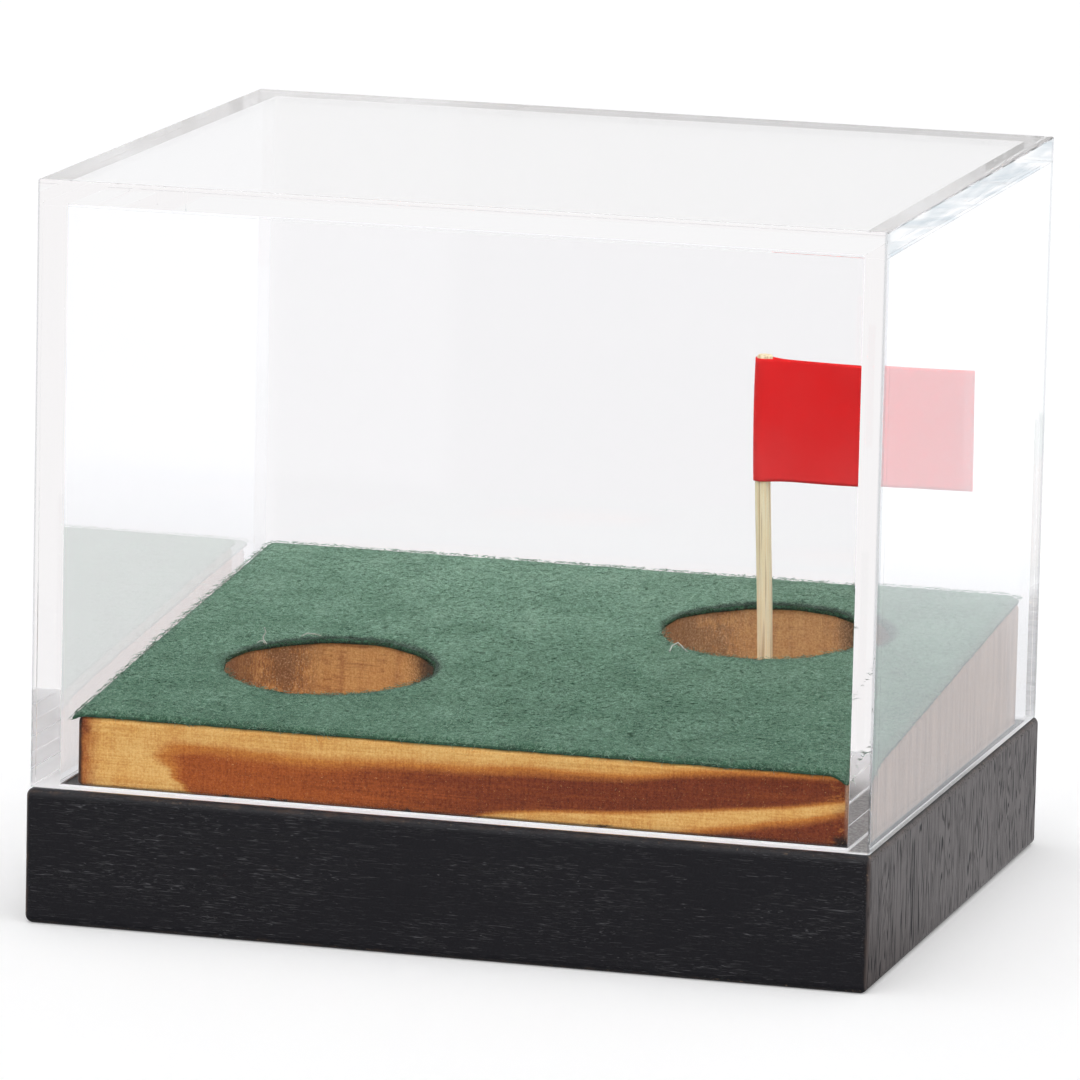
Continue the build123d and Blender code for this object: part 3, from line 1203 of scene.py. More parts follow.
@dataclass
class FeltSheet:
    """The felt laid on the block, cut round both cups, with its nap."""

    finish: GreenFelt = field(default_factory=GreenFelt)
    lint: Lint = field(default_factory=Lint)
    block: WedgeBlock = field(default_factory=WedgeBlock)
    thickness: float = 1.0
    spacing: float = 1.7
    overhang: float = 0.5
    cup_radius: float = 20.0
    far_curl: float = 0.62
    near_lip: float = 0.22
    tuck_depth: float = 0.55
    left_drop: float = 0.18
    front_drop: float = 0.16
    right_drop: float = 0.012
    corner_drop: float = 0.13
    back_drop: float = 0.05
    trimmed_corner: float = 4.2
    edge_wave: float = 0.32
    edge_fray: float = 0.16
    rim_fray: float = 0.22
    lumps: tuple[float, float] = (0.10, 0.07)
    ruffle: float = 0.4
    hair_length: tuple[float, float] = (0.6, 1.7)
    hair_width: tuple[float, float] = (0.035, 0.07)
    cups: tuple[tuple[float, float], ...] = ((-35.64, -21.44), (37.14, 22.44))
    hair_count: int = 19000
    seed: int = 7

    def __post_init__(self) -> None:
        """Read the sheet's outline from its CAD node."""
        low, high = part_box("felt_sheet")
        self.low, self.high = low / MM, high / MM
        self.slope_angle = math.atan(self.block.rise)

    def sag(self, x: float, y: float) -> float:
        """Return how far the felt drops where the wood rounds away from it.

        Args:
            x: The place across the block.
            y: The place from front to back.

        Returns:
            The drop in millimetres.
        """
        left = max(self.low.x + self.overhang + 1.6 - x, 0.0)
        front = max(self.low.y + 1.6 - y, 0.0)
        right = max(x - (self.high.x - 3.4), 0.0)
        near_left = smooth(-y, 10.0, 62.0)
        near_corner = smooth(-y, 52.0, 60.5)
        drop = self.left_drop * left**2 * (0.35 + 0.65 * near_left)
        drop += self.front_drop * front**2
        drop += right**2 * (self.right_drop + self.corner_drop * near_corner)
        back = max(y - (self.high.y - 2.0), 0.0)
        return drop + self.back_drop * back**2

    def curl(self, x: float, y: float) -> float:
        """Return how far the felt's top is pressed down behind a hole, below 0 in front of it.

        Args:
            x: The place across the block.
            y: The place from front to back.

        Returns:
            The change of height in millimetres.
        """
        change = 0.0
        for cx, cy in self.cups:
            near = 1.0 - smooth(math.dist((x, y), (cx, cy)) - self.cup_radius, -0.2, 1.8)
            behind = smooth((y - cy + 0.28 * (x - cx)) / self.cup_radius, -0.35, 0.55)
            change += near * (self.far_curl * behind - self.near_lip * (1.0 - behind))
        return change

    def tuck(self, x: float, y: float) -> tuple[float, float, float]:
        """Return where the underside of a hole's rim ends up, curled into the hole at the back.

        Args:
            x: The rim's place across the block.
            y: The rim's place from front to back.

        Returns:
            The new place, and how far it lies below the block's top.
        """
        for cx, cy in self.cups:
            out = Vector((x - cx, y - cy))
            if out.length < self.cup_radius + 0.5:
                behind = smooth((out.y + 0.28 * out.x) / self.cup_radius, -0.1, 0.6)
                inner = Vector((cx, cy)) + out * (1.0 - 0.022 * behind)
                return inner.x, inner.y, self.tuck_depth * behind
        return x, y, 0.0

    def on_sheet(self, x: float, y: float, height: float) -> Point:
        """Return the point that lies a height above the felt's underside.

        Args:
            x: The place across the block.
            y: The place from front to back.
            height: The height square to the slope.

        Returns:
            The point in millimetres.
        """
        z = self.block.top(y) + height * math.cos(self.slope_angle) - self.sag(x, y)
        return (x, y - height * math.sin(self.slope_angle) * 0.5, z)

    def outline(self) -> list[tuple[float, float]]:
        """Return the sheet's slightly uneven cut edge, anticlockwise.

        Returns:
            The edge's places.
        """
        low, high = self.low, self.high
        corners = [
            (low.x + 0.2, low.y),
            (high.x - 0.2, low.y - 0.1),
            (high.x + 0.3, low.y + 0.4),
            (high.x + 0.3, high.y - 2.6),
            (high.x - 2.2, high.y),
            (low.x + 1.0, high.y),
            (low.x, high.y - 1.0),
            (low.x, low.y + 16.0),
            (low.x - 0.65, low.y + 0.9),
        ]
        points: list[tuple[float, float]] = []
        for (ax, ay), (bx, by) in zip(corners, corners[1:] + corners[:1]):
            steps = max(round(math.dist((ax, ay), (bx, by)) / self.spacing * 1.2), 1)
            for i in range(steps):
                x, y = ax + (bx - ax) * i / steps, ay + (by - ay) * i / steps
                wave = self.edge_wave * wander(x * 0.09, y * 0.09, 3.0)
                wave += self.edge_fray * wander(x * 0.7, y * 0.7, 8.0)
                inwards = Vector((-(by - ay), bx - ax)).normalized() * (abs(wave) + 0.05)
                points.append((x + inwards.x, y + inwards.y))
        return points

    def cup_edge(self, centre: tuple[float, float]) -> list[tuple[float, float]]:
        """Return the slightly ragged rim of one hole.

        Args:
            centre: The hole's middle.

        Returns:
            The rim's places, anticlockwise.
        """
        count = round(math.tau * self.cup_radius / (self.spacing * 0.7))
        rim = []
        for i in range(count):
            angle = math.tau * i / count
            ragged = wander(centre[0] + 3 * math.cos(angle), 3 * math.sin(angle), 1.0)
            rim.append(polar(centre, self.cup_radius + self.rim_fray * ragged, angle))
        return rim

    def plan(self) -> tuple[list[Vector], list[Face]]:
        """Return the flat cut as points and triangles, holes left open.

        Returns:
            The points and the triangles.
        """
        rings = [self.outline(), *(self.cup_edge(c) for c in self.cups)]
        points: list[tuple[float, float]] = []
        edges: list[tuple[int, int]] = []
        for ring in rings:
            start = len(points)
            points += ring
            edges += [(start + i, start + (i + 1) % len(ring)) for i in range(len(ring))]
        margin, x = self.spacing * 0.7, self.low.x
        while x < self.high.x:
            y = self.low.y
            while y < self.high.y:
                px = x + 0.35 * self.spacing * wander(x * 3.1, y * 2.7, 5.0)
                py = y + 0.35 * self.spacing * wander(x * 2.3, y * 3.3, 9.0)
                inside = self.low.x + margin < px < self.high.x - margin
                inside = inside and self.low.y + margin < py < self.high.y - margin
                far = all(math.dist((px, py), c) > self.cup_radius + margin for c in self.cups)
                corner = (self.high.x - px) + (self.high.y - py) > self.trimmed_corner
                if inside and far and corner:
                    points.append((px, py))
                y += self.spacing
            x += self.spacing
        flat, _, faces, *_ = delaunay_2d_cdt([Vector(p) for p in points], edges, [], 1, 1e-5)
        kept = []
        for face in faces:
            centre = sum((flat[i] for i in face), Vector((0.0, 0.0))) / len(face)
            if all(math.dist(centre, c) > self.cup_radius - 0.3 for c in self.cups):
                kept.append(tuple(face))
        return flat, kept

    def sheet_mesh(self, *materials: bpy.types.Material) -> bpy.types.Object:
        """Return the felt as a closed sheet with a soft, lumpy surface.

        Args:
            materials: The finishes of its surface and of its cut edges.

        Returns:
            The felt.
        """
        flat, faces = self.plan()
        work = bmesh.new()
        for p in flat:
            work.verts.new((p.x, p.y, 0.0))
        work.verts.ensure_lookup_table()
        for face in faces:
            work.faces.new([work.verts[i] for i in face])
        loose = [v for v in work.verts if not v.link_faces]
        bmesh.ops.delete(work, geom=loose, context="VERTS")
        bmesh.ops.subdivide_edges(work, edges=work.edges, cuts=1, use_grid_fill=True)
        work.verts.index_update()
        rim = {v.index for e in work.edges if e.is_boundary for v in e.verts}
        count = len(work.verts)
        tops, bottoms = [], []
        for v in work.verts:
            x, y = v.co.x, v.co.y
            lump = self.lumps[0] * wander(x * 0.9, y * 0.9, 2.0)
            lump += self.lumps[1] * wander(x * 2.6, y * 2.6, 6.0)
            curl = self.curl(x, y)
            soft = max(0.28 - abs(curl), 0.0) if v.index in rim else 0.0
            tops.append(self.on_sheet(x, y, self.thickness - soft - curl + lump - 0.12))
            ux, uy, below = self.tuck(x, y) if v.index in rim else (x, y, 0.0)
            bottoms.append(self.on_sheet(ux, uy, 0.03 - below))
        top_faces = [tuple(v.index for v in f.verts) for f in work.faces]
        border = [e for e in work.edges if e.is_boundary]
        sides = []
        for e in border:
            loop = e.link_loops[0]
            a, b = loop.vert.index, loop.link_loop_next.vert.index
            sides.append((b, a, a + count, b + count))
        work.free()
        under = [tuple(i + count for i in reversed(f)) for f in top_faces]
        piece = build_mesh("felt_green", tops + bottoms, [*top_faces, *under, *sides], materials)
        for polygon in piece.data.polygons[len(top_faces):]:
            polygon.material_index = 1
        face_outwards(piece)
        return piece

    def hairs(self, material: bpy.types.Material) -> bpy.types.Object:
        """Return the nap: short bent wool hairs lying over the sheet and its edges.

        Args:
            material: The hairs' finish.

        Returns:
            The nap.
        """
        rng = np.random.default_rng(self.seed)
        rims = [p for c in self.cups for p in self.cup_edge(c)] + self.outline()
        points: list[Point] = []
        faces: list[Face] = []
        for number in range(self.hair_count):
            if number < self.hair_count // 6:
                x, y = rims[rng.integers(len(rims))]
                x, y = x + rng.normal(0, self.ruffle), y + rng.normal(0, self.ruffle)
                lift = rng.uniform(0.0, self.ruffle)
            else:
                x = rng.uniform(self.low.x + self.ruffle, self.high.x - self.ruffle)
                y = rng.uniform(self.low.y + self.ruffle, self.high.y - self.ruffle)
                if any(math.dist((x, y), c) < self.cup_radius for c in self.cups):
                    continue
                if (self.high.x - x) + (self.high.y - y) < self.trimmed_corner + 0.2:
                    continue
                lift = rng.uniform(0.0, 0.16)
            self.hair(points, faces, rng, x, y, lift)
        return build_mesh("felt_nap", points, faces, [material])

    def hair(
        self,
        points: list[Point],
        faces: list[Face],
        rng: np.random.Generator,
        x: float,
        y: float,
        lift: float,
    ) -> None:
        """Add one tapered three-sided hair.

        Args:
            points: The nap's points so far.
            faces: The nap's faces so far.
            rng: The source of chance.
            x: Its root across the block.
            y: Its root from front to back.
            lift: How far its tip stands off the sheet.
        """
        length, width = rng.uniform(*self.hair_length), rng.uniform(*self.hair_width)
        heading, turn = rng.uniform(0, math.tau), rng.normal(0, 0.9)
        start = len(points)
        curl = self.curl(x, y)
        px, py = x, y
        for step in range(2):
            share = step / 2
            height = self.thickness - 0.10 - curl + lift * math.sin(share * 2.4)
            for corner in range(3):
                angle = math.tau * corner / 3
                side = width * (1 - 0.4 * share)
                across = side * math.cos(angle)
                points.append(
                    self.on_sheet(
                        px - across * math.sin(heading),
                        py + across * math.cos(heading),
                        height + side * math.sin(angle),
                    )
                )
            px += length / 2 * math.cos(heading)
            py += length / 2 * math.sin(heading)
            heading += turn / 2
        tip = self.thickness - 0.06 - curl + lift * rng.uniform(0.2, 0.9)
        points.append(self.on_sheet(px, py, tip))
        faces.append((start + 2, start + 1, start))
        for i in range(3):
            j = (i + 1) % 3
            faces.append((start + i, start + j, start + 3 + j, start + 3 + i))
            faces.append((start + 3 + i, start + 3 + j, start + 6))

    def lint_curls(self, material: bpy.types.Material) -> bpy.types.Object:
        """Return the few stray white curls caught on the cups' rims.

        Args:
            material: The curls' finish.

        Returns:
            The curls as one piece.
        """
        curls = [
            ((-51.9, -10.8, 1.0), (-52.2, -10.5, 2.1), (-51.7, -10.3, 3.0), (-52.1, -10.1, 3.8)),
            ((-51.3, -11.2, 1.0), (-51.9, -10.7, 1.5), (-52.7, -10.6, 1.3), (-53.2, -11.0, 1.0)),
            ((-46.6, -4.2, 0.9), (-45.6, -3.8, 1.4), (-44.2, -3.5, 1.3), (-43.1, -3.0, 0.9)),
            ((23.3, 3.6, 1.0), (23.2, 5.6, 1.5), (24.1, 6.6, 2.0), (25.2, 5.8, 1.5)),
            ((25.0, 6.0, 1.6), (25.5, 5.4, 1.3), (26.2, 4.8, 1.1), (26.7, 4.2, 1.0)),
        ]
        points: list[Point] = []
        faces: list[Face] = []
        for curl in curls:
            path = [Vector(self.on_sheet(*p)) for p in curl]
            rings = []
            for i in range(13):
                t = i / 12 * (len(path) - 1)
                k = min(int(t), len(path) - 2)
                f = smooth(t - k, 0.0, 1.0)
                middle = path[k].lerp(path[k + 1], f)
                radius = 0.13 * (1 - 0.45 * i / 12)
                spokes = [(math.cos(a), 0.0, math.sin(a)) for a in np.arange(5) * math.tau / 5]
                rings.append([tuple(middle + radius * Vector(spoke)) for spoke in spokes])
            some, skin = loft(rings)
            start = len(points)
            points += some
            faces += [tuple(i + start for i in f) for f in skin]
        piece = build_mesh("felt_lint", points, faces, [material])
        face_outwards(piece)
        return piece

    def build(self) -> None:
        holes = [(x, y, self.cup_radius) for x, y in self.cups]
        finishes = self.finish.make("wool_felt", holes), self.finish.make_cut()
        sheet = mount(self.sheet_mesh(*finishes), Body.BASE, Slot.FELT, "felt_sheet")
        nap_finish = self.finish.make("wool_nap", holes, lighter=0.025, spread=0.05)
        nap = mount(self.hairs(nap_finish), Body.BASE, Slot.FELT)
        lint = mount(self.lint_curls(self.lint.make()), Body.BASE, Slot.FELT)


@dataclass
class Flag:
    """The leaning bamboo stick and the paper leaf glued round its top."""

    stick_finish: Bamboo = field(default_factory=Bamboo)
    paper_finish: RedPaper = field(default_factory=RedPaper)
    foot: Point = (37.14, 22.44, 33.006)
    axis: Point = (-0.0305385, 0.0, 0.9995336)
    stick_radius: float = 1.5
    bend: tuple[float, float, float] = (2.10, -7.26, 5.57)
    paper: float = 0.11
    slack: float = 0.2
    trimmed: float = 0.18
    skew: float = 0.5
    bow: float = 1.7
    groove: float = 0.030
    ridge: float = 0.022
    chamfer: float = 0.86
    neck: float = 3.4
    wrap_start: float = math.radians(64)
    end_droop: float = 0.32
    neck_droop: float = 0.2
    spans: int = 44
    wrap_steps: int = 24
    levels: int = 36
    sides: int = 40
    splinters: tuple[Point, ...] = ((-0.6, -0.5, 0.62), (0.35, -0.9, 0.4), (-0.1, 0.5, 0.5))

    def __post_init__(self) -> None:
        """Read the heights of the stick and the leaf from their CAD nodes."""
        stick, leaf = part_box("flag_stick"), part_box("flag_leaf")
        self.stick_low, self.stick_high = (corner.z / MM for corner in stick)
        self.leaf_low = leaf[0].z / MM + self.trimmed
        self.leaf_high = leaf[1].z / MM - self.trimmed
        self.leaf_end = leaf[1].x / MM

    def centre(self, z: float) -> Vector:
        """Return the stick's middle at a height, with the bamboo's own slight bend.

        Args:
            z: The height.

        Returns:
            The middle.
        """
        along = (z - self.foot[2]) / self.axis[2]
        share = max(z - self.foot[2], 0.0) / (self.stick_high - self.foot[2])
        aside = sum(by * share ** (power + 1) for power, by in enumerate(self.bend))
        return Vector(self.foot) + Vector(self.axis) * along + Vector((aside, 0.0, 0.0))

    def stick(self) -> bpy.types.Object:
        """Return the stick, split and a little faceted, with broken fibres at its tip.

        Returns:
            The stick.
        """
        rings = []
        levels = np.linspace(self.stick_low, self.stick_high - 0.3, 60)
        stations = [(self.stick_low, self.chamfer), *((z, 1.0) for z in levels[1:])]
        stations.append((self.stick_high - 0.1, self.chamfer))
        for z, share in stations:
            middle = self.centre(z)
            ring = []
            for i in range(self.sides):
                a = math.tau * i / self.sides
                c, s = math.cos(a), math.sin(a)
                groove = self.groove * wander(2.6 * c, 2.6 * s, 4.0 + z * 0.006)
                ridge = self.ridge * wander(9.0 * c, 9.0 * s, 7.0 + z * 0.01)
                radius = (self.stick_radius - 0.03 + groove + ridge) * share
                rough = 0.10 * wander(i * 0.9, z, 2.0) if z > self.stick_high - 0.2 else 0.0
                ring.append((*polar(middle, radius, a), z + rough))
            rings.append(ring)
        points, faces = loft(rings)
        for x, y, tall in self.splinters:
            root = self.centre(self.stick_high - 0.2) + Vector((x, y, 0.0))
            start = len(points)
            points += [(*polar(root, 0.12, math.tau * i / 5), root.z) for i in range(5)]
            points.append((root.x + 0.08, root.y - 0.05, root.z + tall))
            faces += [(start + i, start + (i + 1) % 5, start + 5) for i in range(5)]
            faces.append(tuple(start + i for i in reversed(range(5))))
        return build_mesh("bamboo_stick", points, faces, [self.stick_finish.make()])

    def leaf_line(self, z: float) -> list[tuple[float, float]]:
        """Return the folded paper's middle line at one height, seen from above.

        Args:
            z: The height.

        Returns:
            Places along the front layer, round the stick and along the back one.
        """
        middle = self.centre(z)
        share = (z - self.leaf_low) / (self.leaf_high - self.leaf_low)
        reach = self.leaf_end - middle.x + self.skew * (share - 0.5)
        around = self.stick_radius + self.slack + self.paper / 2
        neck, end_offset = self.neck, 2.6 - 3.4 * share
        line: list[tuple[float, float]] = []

        def spine(t: float) -> float:
            """Return how far back the leaf lies.

            Args:
                t: The share of its length.

            Returns:
                The distance.
            """
            tilt = end_offset * smooth(t, 0.0, 1.0) * t
            ripple = 0.12 * wander(t * 2.2, share * 1.6, 3.0)
            return tilt - self.bow * math.sin(math.pi * min(t * 1.02, 1.0)) + ripple

        for side in (-1.0, 1.0):
            half = []
            for i in range(self.spans + 1):
                x = neck + (reach - neck) * i / self.spans
                t = x / reach
                gap = self.paper / 2 + 0.012 + 0.05 * smooth(t, 0.93, 1.0)
                open_neck = max(1.0 - (x - neck) / 3.0, 0.0) ** 2 * 0.25
                half.append((middle.x + x, middle.y + spine(t) + side * (gap + open_neck)))
            if side < 0:
                line += reversed(half)
                wrapped = math.tau - 2 * self.wrap_start
                for i in range(self.wrap_steps + 1):
                    a = -self.wrap_start - wrapped * i / self.wrap_steps
                    line.append(polar(middle, around, a))
            else:
                line += half
        return line

    def leaf(self) -> bpy.types.Object:
        """Return the folded leaf with its real thickness.

        Returns:
            The leaf.
        """
        tall = self.leaf_high - self.leaf_low
        rings = []
        for step in range(self.levels + 1):
            z = self.leaf_low + tall * step / self.levels
            line = [Vector(p) for p in self.leaf_line(z)]
            outer, inner = [], []
            for i, p in enumerate(line):
                along = (line[min(i + 1, len(line) - 1)] - line[max(i - 1, 0)]).normalized()
                side = Vector((-along.y, along.x)) * self.paper / 2
                low = self.end_droop * smooth(p.x, 58.0, 71.5)
                low += self.neck_droop * (1.0 - smooth(p.x, 35.0, 44.0))
                level = z - low * (self.leaf_high - z) / tall
                outer.append((p.x + side.x, p.y + side.y, level))
                inner.append((p.x - side.x, p.y - side.y, level))
            rings.append(outer + inner[::-1])
        count = len(rings[0])
        points = [p for ring in rings for p in ring]
        faces = ring_faces(len(rings), count)
        half = count // 2
        for base, turn in ((0, False), (len(points) - count, True)):
            for i in range(half - 1):
                quad = (base + i, base + count - 1 - i, base + count - 2 - i, base + i + 1)
                faces.append(quad if turn else tuple(reversed(quad)))
        piece = build_mesh("paper_flag", points, faces, [self.paper_finish.make()])
        face_outwards(piece)
        return piece

    def build(self) -> None:
        """Make the stick and the leaf."""
        mount(self.stick(), Body.FLAG, Slot.BAMBOO, "flag_stick")
        mount(self.leaf(), Body.FLAG, Slot.PAPER, "flag_leaf")


@dataclass
class AcrylicCover:
    """The five glued sheets of the lift-off cover, as one clear body."""

    finish: ClearAcrylic = field(default_factory=ClearAcrylic)
    rim_finish: SawnEdge = field(default_factory=SawnEdge)
    edge_break: float = 0.3
    seam_depth: float = 0.03
    seam_half: float = 0.04
    inner_fillet: float = 0.08
    rim_gap: float = 0.02
    frosted: float = 0.32

    def __post_init__(self) -> None:
        """Read the cover's sizes from its CAD nodes."""
        top_low, top_high = (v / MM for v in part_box("cover_top"))
        front_low, front_high = (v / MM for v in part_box("cover_front"))
        self.half_width = top_high.x
        self.half_depth = top_high.y
        self.foot, self.seam, self.crown = front_low.z + self.rim_gap, top_low.z, top_high.z
        self.sheet = front_high.y - front_low.y

    def outside(self, z: float, inset: float, seams: float) -> list[Point]:
        """Return one level of the cover's outside.

        Args:
            z: The level's height.
            inset: How far it lies inside the full outline.
            seams: The depth of the upright seams on the two sides.

        Returns:
            The ring of points, anticlockwise.
        """
        w, d, r = self.half_width - inset, self.half_depth - inset, self.edge_break
        ring: list[Point] = []

        def corner(cx: float, cy: float, start: float) -> None:
            """Add one rounded corner.

            Args:
                cx: Its centre's x.
                cy: Its centre's y.
                start: The angle that it starts from, in degrees.
            """
            for i in range(4):
                ring.append((*polar((cx, cy), r, math.radians(start + 30 * i)), z))

        def upright(x: float, y: float, way: float) -> None:
            """Add one upright seam.

            Args:
                x: The side that it lies in.
                y: Its middle.
                way: 1 where the ring runs back, -1 where it runs forward.
            """
            ring.append((x, y - way * self.seam_half, z))
            ring.append((x - math.copysign(seams, x), y, z))
            ring.append((x, y + way * self.seam_half, z))

        joint = self.half_depth - self.sheet
        corner(w - r, -d + r, -90)
        upright(w, -joint, 1)
        upright(w, joint, 1)
        corner(w - r, d - r, 0)
        corner(-w + r, d - r, 90)
        upright(-w, joint, -1)
        upright(-w, -joint, -1)
        corner(-w + r, -d + r, 180)
        return ring

    def inside(self, z: float, inset: float) -> list[Point]:
        """Return one level of the cavity.

        Args:
            z: The level's height.
            inset: How far it lies inside the cavity's full outline.

        Returns:
            The ring of points, anticlockwise.
        """
        w, d = self.half_width - self.sheet - inset, self.half_depth - self.sheet - inset
        r = self.inner_fillet
        ring: list[Point] = []
        for cx, cy, start in ((w, -d, -90), (w, d, 0), (-w, d, 90), (-w, -d, 180)):
            middle = cx - math.copysign(r, cx), cy - math.copysign(r, cy)
            for i in range(3):
                ring.append((*polar(middle, r, math.radians(start + 45 * i)), z))
        return ring

    def outer_rings(self) -> list[list[Point]]:
        """Return the outside from the foot to the crown.

        Returns:
            The rings, with a broken edge at both ends and a groove along the seam.
        """
        b, s, k = self.edge_break, self.seam_half, self.seam_depth
        levels = [
            (self.foot, b * 0.2, k),
            (self.foot + b * 0.2, 0.0, k),
            (self.seam - s, 0.0, k),
            (self.seam, k, 0.0),
            (self.seam + s, 0.0, 0.0),
            (self.crown - b, 0.0, 0.0),
            (self.crown - b * 0.3, b * 0.3, 0.0),
            (self.crown, b, 0.0),
        ]
        return [self.outside(*level) for level in levels]

    def cavity_rings(self) -> list[list[Point]]:
        """Return the cavity from its frosted foot to its filleted ceiling.

        Returns:
            The rings.
        """
        f = self.inner_fillet
        frosted = [
            (x, y, z if y < 0 else z - self.frosted * 0.7)
            for x, y, z in self.inside(self.foot + self.frosted, 0.0)
        ]
        return [
            self.inside(self.foot, -self.edge_break * 0.2),
            frosted,
            self.inside(self.seam - f, 0.0),
            self.inside(self.seam - f * 0.3, f * 0.3),
            self.inside(self.seam, f),
        ]

    def shell(self) -> bpy.types.Object:
        """Return the cover as one closed shell with seams, broken edges and a sawn rim.

        Returns:
            The shell.
        """
        work = bmesh.new()

        def skin(rings: Sequence[Sequence[Point]], sawn: int) -> list[list[bmesh.types.BMVert]]:
            """Add the faces between rings and close the last ring.

            Args:
                rings: The rings from the foot up.
                sawn: How many bands of faces from the foot up are sawn.

            Returns:
                The rings' new vertices.
            """
            made = [[work.verts.new(scaled(p)) for p in ring] for ring in rings]
            for level, (low, high) in enumerate(zip(made, made[1:])):
                for i in range(len(low)):
                    j = (i + 1) % len(low)
                    face = work.faces.new((low[i], low[j], high[j], high[i]))
                    face.material_index = 1 if level < sawn else 0
            work.faces.new(made[-1])
            return made

        outer_made, cavity_made = skin(self.outer_rings(), 0), skin(self.cavity_rings(), 1)
        rims = []
        for ring in (outer_made[0], cavity_made[0]):
            for i, v in enumerate(ring):
                rims.append(work.edges.get((v, ring[(i + 1) % len(ring)])))
        foot = bmesh.ops.triangle_fill(work, use_beauty=True, edges=rims)
        for item in foot["geom"]:
            if isinstance(item, bmesh.types.BMFace):
                item.material_index = 1
        bmesh.ops.recalc_face_normals(work, faces=work.faces)
        mesh = bpy.data.meshes.new("acrylic_cover")
        work.to_mesh(mesh)
        work.free()
        mesh.shade_flat()
        half = Vector((self.half_width, self.half_depth, 0.0))
        return add_piece(mesh, [self.finish.make(half, self.seam), self.rim_finish.make()])

    def build(self) -> None:
        """Make the cover and let it stand for its five sheets."""
        sides = ("top", "front", "back", "left", "right")
        mount(self.shell(), Body.COVER, Slot.ACRYLIC, *(f"cover_{side}" for side in sides))


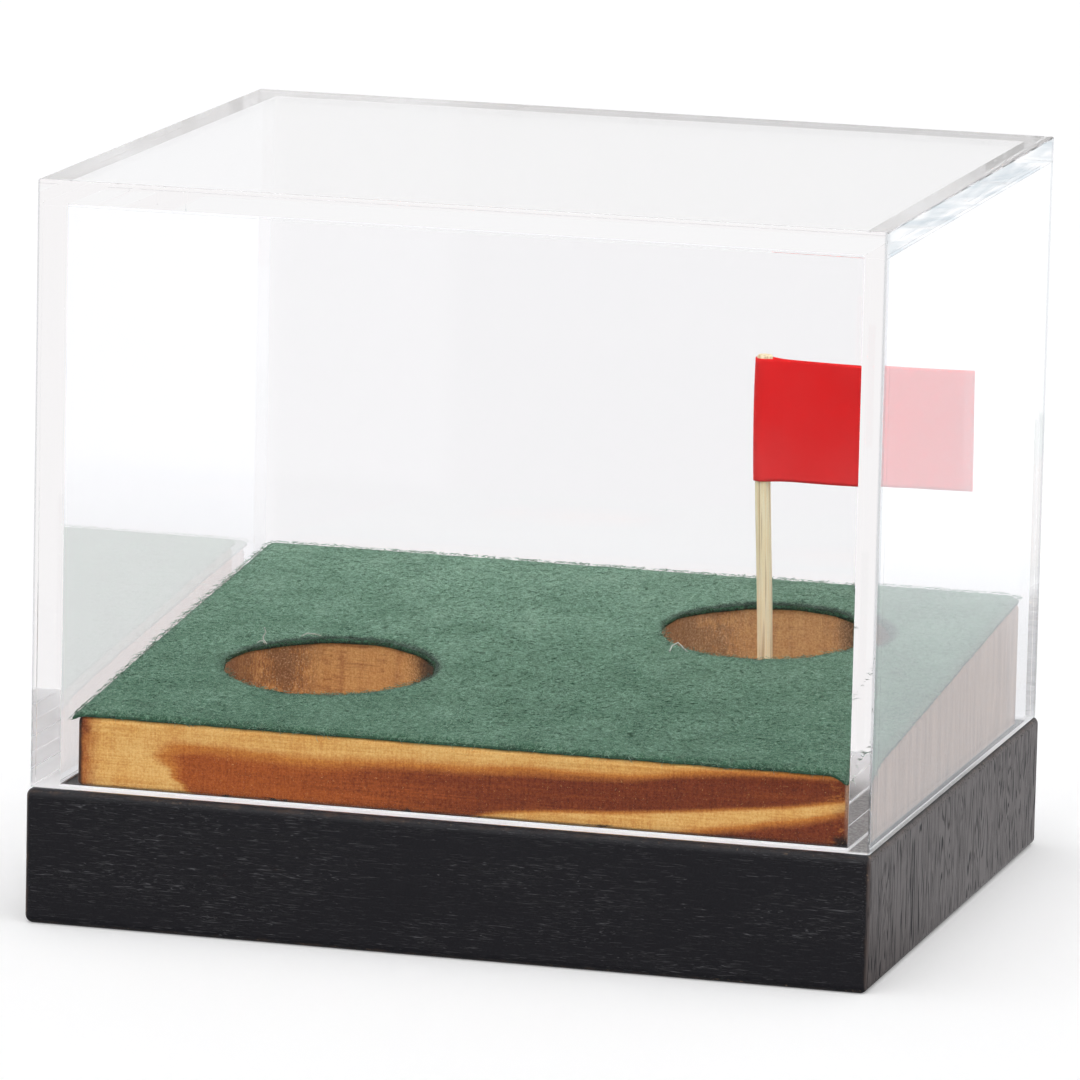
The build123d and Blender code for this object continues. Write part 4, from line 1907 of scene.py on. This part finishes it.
@dataclass
class Studio:
    """A pale floor, a soft sky, two wide lamps and the camera."""

    floor_front: float = -0.235
    floor_half: float = 4.0
    dark_front: float = 0.13
    dark_way: Point = (-0.262, -0.947, -0.182)
    dim_above: float = 0.87
    inner_light: float = 0.97
    sky: float = 0.62
    card_front: float = 0.15
    card_near: float = 0.78
    card_far: float = 1.20
    card_guided: float = 0.96
    floor_glow: float = 0.18
    paper_dark: Colour = (0.86, 0.86, 0.865)
    paper_light: Colour = (0.88, 0.88, 0.885)
    card_cool: Colour = (1.0, 1.03, 1.065)
    card_warm: Colour = (1.0, 0.985, 0.985)
    yaw: float = math.radians(15.5994)
    pitch: float = math.radians(10.4461)
    roll: float = math.radians(1.3048)
    target: Point = (0.0, -3.5, 60.0)
    offset: Point = (0.7353, -6.3149, 1750.570)
    lens: float = 9334.531 / 1080 * 36.0

    def floor_finish(self) -> bpy.types.Material:
        """Return the floor's finish, pale for lamps and an even card for mirror images.

        Returns:
            The material.
        """
        g = Graph("pale_paper_floor")
        where = g.place()
        paper = g.blend(g.noise(where, 0.4, 3.0), self.paper_dark, self.paper_light)
        paint = g.add("BsdfDiffuse", paper)
        glow = g.add("Emission", WHITE, self.floor_glow)
        seen = g.unbounced(Ray.DIFFUSE_DEPTH)
        lit = g.add("AddShader", paint.outputs[0], glow.outputs[0])
        plain = g.cover(seen, paint, lit)
        y = g.parts(where)[1]
        gloss = g.between(g.step(y, 200.0, 450.0), self.card_near, self.card_far)
        gloss = g.between(g.step(y, -90.0, 40.0), self.card_front, gloss)
        guided = g.past(Ray.GLOSSY_DEPTH, 1)
        gloss = g.between(guided, gloss, self.card_guided)
        card = g.add("Emission", g.blend(guided, self.card_cool, self.card_warm), gloss)
        mirrored = g.times(g.past(Ray.GLOSSY_DEPTH, 0), seen)
        return g.finish(g.cover(mirrored, plain, card).outputs[0])

    def floor(self) -> None:
        """Make the plain floor that keeps the shadow."""
        half, front, steps = self.floor_half, self.floor_front, 8
        row = steps + 1
        points = [
            ((-half + 2 * half * i / steps) / MM, (front + 2 * half * j / steps) / MM, 0.0)
            for j in range(row)
            for i in range(row)
        ]
        faces = [
            (j * row + i, j * row + i + 1, (j + 1) * row + i + 1, (j + 1) * row + i)
            for j in range(steps)
            for i in range(steps)
        ]
        build_mesh("studio_floor", points, faces, [self.floor_finish()])

    def sky_dome(self) -> None:
        """Make the world: soft light for surfaces, white behind, dim in front for gloss."""
        world = bpy.data.worlds.new("studio_sky")
        bpy.context.scene.world = world
        world.use_nodes = True
        g = Graph("studio_sky", world.node_tree)
        way = g.parts(g.add("TexCoord").outputs["Generated"])
        lighting = g.past(Ray.DIFFUSE_DEPTH, 0)
        mirrored = g.past(Ray.GLOSSY_DEPTH, 0)
        east, north, up = self.dark_way
        aim = g.muladd(way[1], north, g.times(way[0], east))
        aim = g.muladd(way[2], up, aim)
        behind = g.step(aim, 0.992, 0.965)
        above = g.between(g.step(way[2], -0.02, 0.08), 1.0, self.dim_above)
        gloss = g.between(behind, self.dark_front, above)
        gloss = g.between(g.past(Ray.GLOSSY_DEPTH, 1), gloss, self.inner_light)
        view = g.between(mirrored, 1.0, gloss)
        strength = g.between(lighting, view, self.sky)
        g.finish(g.add("Background", WHITE, strength).outputs[0], "OutputWorld")

    def lamp(self, name: str, strength: float, turn: float, height: float, spread: float) -> None:
        """Add one wide lamp that shines from a direction.

        Args:
            name: The lamp's name.
            strength: Its strength.
            turn: Degrees to the right of the front.
            height: Degrees above the floor.
            spread: Its angular size in degrees.
        """
        data = bpy.data.lights.new(name, "SUN")
        data.energy = strength
        data.angle = math.radians(spread)
        data.cycles.use_multiple_importance_sampling = False
        lamp = bpy.data.objects.new(name, data)
        towards = direction(math.radians(turn), math.radians(height))
        lamp.rotation_mode = "QUATERNION"
        lamp.rotation_quaternion = towards.to_track_quat("Z", "Y")
        lamp.location = towards
        bpy.context.collection.objects.link(lamp)

    def camera(self) -> None:
        """Place the camera."""
        back, r = direction(self.yaw, self.pitch), self.roll
        level = (-back).cross(Vector((0.0, 0.0, 1.0))).normalized()
        up = level.cross(-back)
        right = level * math.cos(r) + up * math.sin(r)
        over = up * math.cos(r) - level * math.sin(r)
        tx, ty, tz = self.offset
        place = Vector(self.target) - right * tx - over * ty + back * tz
        data = bpy.data.cameras.new("studio_camera")
        data.sensor_width = 36.0
        data.lens = self.lens
        data.clip_start, data.clip_end = 0.1, 50.0
        camera = bpy.data.objects.new("studio_camera", data)
        turned = Matrix((right, over, back)).transposed()
        camera.matrix_world = Matrix.Translation(place * MM) @ turned.to_4x4()
        bpy.context.collection.objects.link(camera)
        bpy.context.scene.camera = camera

    def settings(self) -> None:
        """Set plain colours and let light run its length inside the clear sheets."""
        scene = bpy.context.scene
        scene.view_settings.view_transform = "Standard"
        scene.cycles.max_bounces = 64
        scene.cycles.glossy_bounces = 64
        scene.cycles.transmission_bounces = 64

    def build(self) -> None:
        """Make the whole studio."""
        self.floor()
        self.sky_dome()
        self.lamp("wide_lamp_right", strength=0.85, turn=32, height=58, spread=80)
        self.lamp("wide_lamp_left", strength=0.45, turn=-50, height=50, spread=90)
        self.camera()
        self.settings()


def main() -> None:
    """Build every piece in order."""
    logging.basicConfig(level=logging.INFO, format="%(name)s: %(message)s")
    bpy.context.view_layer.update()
    for label, maker in (
        ("studio", Studio),
        ("base board and screws", BaseBoard),
        ("wedge block", WedgeBlock),
        ("felt sheet", FeltSheet),
        ("flag", Flag),
        ("acrylic cover", AcrylicCover),
    ):
        maker().build()
        LOG.info("%s built", label)


if __name__ == "__main__":
    main()
